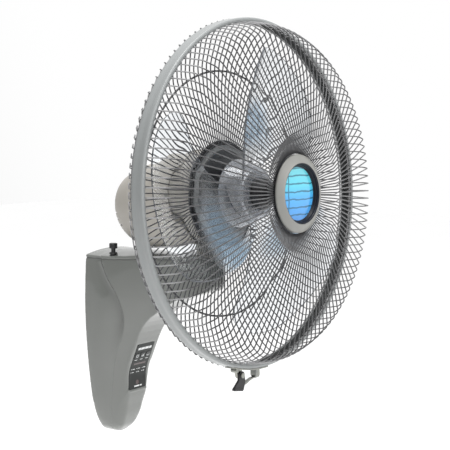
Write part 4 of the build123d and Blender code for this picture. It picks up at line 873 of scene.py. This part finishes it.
def bracket_skins():
    import openvdb as vdb

    h = 1.1
    x = np.arange(-58, 58 + h, h).astype(np.float32)
    y = np.arange(-212, 4 + h, h).astype(np.float32)
    z = np.arange(-360, -82 + h, h).astype(np.float32)
    X = np.abs(x)[:, None, None]
    SX = x[:, None, None]
    Y = y[None, :, None]
    Z = z[None, None, :]
    st = STATIONS[::-1]
    w, ys, xf, yf = (smooth_table(z, st[:, 0], st[:, i])[None, None, :].astype(np.float32) for i in range(1, 5))
    # six-sided section: side, slanted cheek, front
    L = np.sqrt((yf - ys) ** 2 + (w - xf) ** 2)
    cheek = (yf - ys) / L * (X - w) + (w - xf) / L * (-Y - ys)
    side = X - w
    section = smax(smax(side, cheek, 9.0), -Y - yf, 3.0)
    ty = np.minimum(Y - NECK_Y, 0)
    arm = np.where(Y < NECK_Y, np.sqrt(X ** 2 + ty ** 2), X + 0 * ty) - 21.5
    arm = np.maximum(arm, Y + 60)
    plan = smin(section, arm, 10.0)
    profile = polygon_distance(rounded(SIDE, SIDE_R, True), y, z)[None].astype(np.float32)
    crease = np.interp(z, [-345, -312, -292, -270], [14.0, 13.0, 4.0, 1.8])[None, None, :].astype(np.float32)
    body = smax(plan, profile, crease)
    top = Z - (-87.0 - X * X * (8.6 / 3600.0))
    body = smax(body, top, 2.2)
    # narrow groove that leaves a lip round the top edge
    body = body + 1.7 * np.exp(-((top + 4.6) / 1.3) ** 2).astype(np.float32)
    body = smax(body, Y, 1.5)
    curve = catmull(PARTING)
    region = np.concatenate([curve, [[90, -420], [90, -50]]])
    part = polygon_distance(region, y, z)[None].astype(np.float32)      # negative behind the line
    # the rear shell dips towards the line and the front shell stands proud of it, most half way down the cheek
    fade = np.interp(z, [-240, -212, -190, -172, -140, -112, -94, -84], [0, 0.22, 0.85, 1.0, 0.85, 0.5, 0.35, 0.2])[None, None, :]
    back = np.maximum(-part, 0.0)
    dip = 3.6 * fade * (back / 7.5) * np.exp(1.0 - back / 7.5)
    body = body + (dip * (Y < -3)).astype(np.float32)
    # small bead across the front under the key panel
    bead = 1.1 * np.exp(-((Z + 290.4) / 1.5) ** 2) * (X < 20) * (Y < -30)
    body = body - bead.astype(np.float32)
    cavity = np.maximum(body + 2.5, Y + 4.3)
    shell = np.maximum(body, -cavity)

    def cut(region_d):
        nonlocal shell
        shell = np.maximum(shell, -region_d)

    def block(lo, hi):
        ax, ay, az = (np.maximum(a - v, v - b) for a, b, v in zip(lo, hi, (SX, Y, Z)))
        return np.maximum(np.maximum(ax, ay), az)

    cut(block((-38.5, -1.8, -310.5), (38.5, 9, -109.5)))
    cut(block((-17, -9, -225), (17, 9, -179)))
    for cx in (-20, 20):
        cut(block((cx - 5.5, -9, -151.5), (cx + 5.5, 9, -136.5)))
    for cx, cz in SCREWS:
        cut(np.maximum(np.sqrt((SX - cx) ** 2 + (Z - cz) ** 2) - 3.9, -Y - 6.0))
    # neck bush and plunger holes in the top
    cut(np.maximum(np.sqrt(SX ** 2 + (Y - NECK_Y) ** 2) - 13.2, -Z - 110))
    cut(np.maximum(np.sqrt((SX - KNOB[0]) ** 2 + (Y - KNOB[1]) ** 2) - 4.5, -Z - 104))
    # grommet hole in the far side
    cut(np.maximum(np.sqrt((Y + 12) ** 2 + (Z + 300) ** 2) - 5.6, 30 - SX))
    # panel recess, key openings and receiver window
    cut(np.maximum(-(body + 1.2), block((-17.5, -92, -288), (17.5, -40, -220))))
    ky, kz = Y + 61.1, Z + 238.0
    up_ = -0.403 * ky + 0.915 * kz
    for kx in (-11, 0, 11):
        cut(np.maximum(np.maximum(np.abs(SX - kx) - 4.3, np.abs(up_) - 4.3), Y + 45))
    cut(np.maximum(np.maximum(np.abs(SX) - 12.1, np.abs(up_ + 14) - 1.6), Y + 45))
    cut(np.maximum(np.sqrt(SX ** 2 + (Z + 279) ** 2) - 3.4, Y + 40))

    out = []
    seam = np.interp(z, [-230, -190, -135, -100], [-0.5, -0.4, 0.0, 0.12])[None, None, :].astype(np.float32)
    for name, node, side_d in (
        ("rear_housing_skin", "rear_housing", part + seam),
        ("front_housing_skin", "front_housing", -part + seam),
    ):
        field = np.clip(np.maximum(shell, side_d), -3 * h, 3 * h).astype(np.float32)
        grid = vdb.FloatGrid(3 * h)
        grid.copyFromArray(np.ascontiguousarray(field))
        pts, tris, quads = grid.convertToPolygons(0.0, 0.0)
        pts = np.asarray(pts, dtype=float) * h + np.array([x[0], y[0], z[0] + FAN_Z])
        # painted shade in the joint and under the top lip, stored per point
        gy = np.clip((pts[:, 1] - y[0]) / h, 0, len(y) - 1.001)
        gz = np.clip((pts[:, 2] - FAN_Z - z[0]) / h, 0, len(z) - 1.001)
        iy, iz = gy.astype(int), gz.astype(int)
        fy, fz = gy - iy, gz - iz
        d2 = part[0]
        dist = (d2[iy, iz] * (1 - fy) * (1 - fz) + d2[iy + 1, iz] * fy * (1 - fz) + d2[iy, iz + 1] * (1 - fy) * fz + d2[iy + 1, iz + 1] * fy * fz)
        lvl = pts[:, 2] - FAN_Z
        strong = np.interp(lvl, [-238, -212, -190, -165, -140, -116, -96, -84], [0, 0.30, 0.9, 1.0, 0.95, 0.75, 0.45, 0.2])
        joint_shade = strong * np.where(dist < 0, np.exp(-(dist / 9.5) ** 2), np.exp(-(dist / 1.3) ** 2)) * (np.abs(pts[:, 0]) > 24)
        lip_shade = 0.75 * np.exp(-((lvl + 87.0 + pts[:, 0] ** 2 * (8.6 / 3600.0) + 4.7) / 1.5) ** 2)
        me = bpy.data.meshes.new(name)
        me.from_pydata((pts * MM).tolist(), [], [tuple(map(int, f)) for f in np.asarray(quads)] + [tuple(map(int, f)) for f in np.asarray(tris)])
        me.update()
        bm = bmesh.new()
        bm.from_mesh(me)
        if bm.calc_volume(signed=True) < 0:
            bmesh.ops.reverse_faces(bm, faces=bm.faces)
        bm.to_mesh(me)
        bm.free()
        me.materials.append(HOUSING_SKIN)
        me.polygons.foreach_set("use_smooth", [True] * len(me.polygons))
        # per-point painted shade for the housing material
        layer = me.attributes.new("dust_and_painted_shade", "FLOAT", "POINT")
        layer.data.foreach_set("value", np.maximum(joint_shade, lip_shade)[:len(me.vertices)].astype(np.float32))
        ob = bpy.data.objects.new(name, me)
        scene.collection.objects.link(ob)
        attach(ob, "bracket")
        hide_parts(node)
        out.append(ob)
    return out


skins = bracket_skins()

# ---------------------------------------------------------------------------
# Plain marks on the key panel: bars and dots, flush on its curved face
# ---------------------------------------------------------------------------
front_profile = [p for p in rounded(SIDE, SIDE_R, True) if -300 < p[1] < -200 and p[0] < -20]
front_profile = np.array(sorted(front_profile, key=lambda p: p[1]))


def panel_point(u, v, lift):
    """u across, v is the level below the guard centre; lift stands off the face."""
    yv = np.interp(v, front_profile[:, 1], front_profile[:, 0])
    y2 = np.interp(v + 0.5, front_profile[:, 1], front_profile[:, 0])
    t = np.array([y2 - yv, 0.5])
    t /= np.linalg.norm(t)
    nrm = np.array([-t[1], t[0]])
    return (u * MM, (yv + nrm[0] * lift) * MM, (v + nrm[1] * lift + FAN_Z) * MM)


marks_v, marks_f = [], []


def add_mark(outline):
    base = len(marks_v)
    k = len(outline)
    for lift in (0.14, -0.3):
        for u, v in outline:
            marks_v.append(panel_point(u, v, lift))
    marks_f.append(tuple(base + i for i in range(k)))
    marks_f.append(tuple(base + k + i for i in range(k))[::-1])
    for i in range(k):
        j = (i + 1) % k
        marks_f.append((base + i, base + k + i, base + k + j, base + j))


def bar(cx, cv, wd, ht):
    add_mark([(cx - wd / 2, cv - ht / 2), (cx + wd / 2, cv - ht / 2), (cx + wd / 2, cv + ht / 2), (cx - wd / 2, cv + ht / 2)])


def dot(cx, cv, r, k=14):
    add_mark([(cx + r * math.cos(2 * math.pi * i / k), cv + r * math.sin(2 * math.pi * i / k)) for i in range(k)])


for cx, wd in ((-10.5, 4.5), (-3.8, 6.0), (4.2, 6.5), (11.3, 4.0)):
    bar(cx, -227.3, wd + 0.9, 3.4)
for cx in (-11, 0, 11):
    bar(cx, -244.4, 5.2, 0.8)
    dot(cx - 3.2, -258.6, 0.65)
    bar(cx + 1.2, -258.6, 4.2, 0.9)
    dot(cx - 3.2, -263.4, 0.65)
    bar(cx + 0.6, -263.4, 3.0, 0.9)
bar(-1.5, -284.3, 10.5, 2.0)
bar(7.0, -284.3, 3.6, 2.0)
marks = mesh_object("panel_marks", marks_v, marks_f, "bracket", smooth=False, mats=[MARK])

# small icons on the keys, in the key plane
key_c = np.array([0.0, -61.1, FAN_Z - 238.0])
ex, ey, ez = np.array([1.0, 0, 0]), np.array([0, -0.403, 0.915]), np.array([0, -0.915, -0.403])
ey, ez = ey / np.linalg.norm(ey), ez / np.linalg.norm(ez)


def key_mark(name, body, cx, loops):
    vs, fs = [], []
    for outline in loops:
        base, k = len(vs), len(outline)
        for lift in (0.70, 0.45):
            for u, v in outline:
                vs.append((key_c + ex * (cx + u) + ey * v + ez * lift) * MM)
        fs.append(tuple(base + i for i in range(k)))
        fs.append(tuple(base + k + i for i in range(k))[::-1])
        for i in range(k):
            j = (i + 1) % k
            fs.append((base + i, base + k + i, base + k + j, base + j))
    return mesh_object(name, vs, fs, body, smooth=False, mats=[MARK])


def ring_arcs(r, wd, a0, a1, k=18):
    """An arc strip cut into short closed pieces."""
    out = []
    for i in range(k):
        p, q = math.radians(a0 + (a1 - a0) * i / k), math.radians(a0 + (a1 - a0) * (i + 1) / k)
        out.append([
            ((r - wd / 2) * math.cos(p), (r - wd / 2) * math.sin(p)), ((r + wd / 2) * math.cos(p), (r + wd / 2) * math.sin(p)),
            ((r + wd / 2) * math.cos(q), (r + wd / 2) * math.sin(q)), ((r - wd / 2) * math.cos(q), (r - wd / 2) * math.sin(q)),
        ])
    return out


key_mark("power_key_mark", "power_key", -11, ring_arcs(2.2, 0.5, 120, 420) + [[(-0.3, 0.8), (0.3, 0.8), (0.3, 3.1), (-0.3, 3.1)]])
key_mark("speed_key_mark", "speed_key", 0, [
    [(-2.2, -2), (-1.2, -2), (-1.2, -0.6), (-2.2, -0.6)], [(-0.5, -2), (0.5, -2), (0.5, 0.7), (-0.5, 0.7)],
    [(1.2, -2), (2.2, -2), (2.2, 2), (1.2, 2)]])
key_mark("swing_key_mark", "swing_key", 11, ring_arcs(2.2, 0.5, 200, 340) + [[(-2.6, -0.9), (-1.6, -0.9), (-2.1, 0.5)], [(1.6, -0.9), (2.6, -0.9), (2.1, 0.5)]])

# ---------------------------------------------------------------------------
# Floor, light and camera
# ---------------------------------------------------------------------------
bm = bmesh.new()
for gx, gy in ((-9, -9), (9, -9), (9, 9), (-9, 9)):
    bm.verts.new((gx, gy, -0.62))
bm.faces.new(bm.verts)
me = bpy.data.meshes.new("floor")
bm.to_mesh(me)
bm.free()
floor = bpy.data.objects.new("floor", me)
scene.collection.objects.link(floor)
FLOOR = material("floor_pale", (0.93, 0.93, 0.93), 0.9, vary=0.01, vary_scale=2, spec=0.1)
FLOOR.node_tree.nodes["Principled BSDF"].inputs["Emission Color"].default_value = (1, 1, 1, 1)
FLOOR.node_tree.nodes["Principled BSDF"].inputs["Emission Strength"].default_value = 0.14
me.materials.append(FLOOR)

world = bpy.data.worlds.new("studio")
world.use_nodes = True
wn, wl = world.node_tree.nodes, world.node_tree.links
bg = wn["Background"]
wtc = wn.new("ShaderNodeTexCoord")
wdot = wn.new("ShaderNodeVectorMath")
wdot.operation = "DOT_PRODUCT"
wdot.inputs[1].default_value = (-0.62, 0.70, -0.36)
wl.new(wtc.outputs["Generated"], wdot.inputs[0])
wmr = wn.new("ShaderNodeMapRange")
wmr.interpolation_type = "SMOOTHSTEP"
wmr.inputs["From Min"].default_value = 0.05
wmr.inputs["From Max"].default_value = 0.85
wmr.inputs["To Min"].default_value = 1.0
wmr.inputs["To Max"].default_value = 0.22
wl.new(wdot.outputs["Value"], wmr.inputs["Value"])
wl.new(wmr.outputs["Result"], bg.inputs["Color"])
bg.inputs["Strength"].default_value = 1.0
scene.world = world
scene.view_settings.view_transform = "Standard"


def area(name, loc, target, size, power, size_y=None):
    lt = bpy.data.lights.new(name, "AREA")
    lt.energy = power
    lt.size = size
    if size_y:
        lt.shape = "RECTANGLE"
        lt.size_y = size_y
    ob = bpy.data.objects.new(name, lt)
    ob.location = loc
    ob.rotation_euler = (Vector(target) - Vector(loc)).to_track_quat("-Z", "Y").to_euler()
    scene.collection.objects.link(ob)
    return ob


area("top_soft", (-0.2, -0.5, 2.2), (0, -0.2, 0.1), 1.6, 46)
area("front_soft", (1.1, -2.4, 0.9), (0, -0.2, 0.1), 1.4, 18)

cam_data = bpy.data.cameras.new("camera")
cam_data.lens = 86.4
cam_data.sensor_width = 36.0
cam = bpy.data.objects.new("camera", cam_data)
cam.location = (-1.1182, -1.0985, 0.2954)
yaw, pitch = math.radians(51.576), math.radians(-5.154)
fwd = Vector((math.sin(yaw) * math.cos(pitch), math.cos(yaw) * math.cos(pitch), math.sin(pitch)))
cam.rotation_euler = fwd.to_track_quat("-Z", "Y").to_euler()
scene.collection.objects.link(cam)
scene.camera = cam
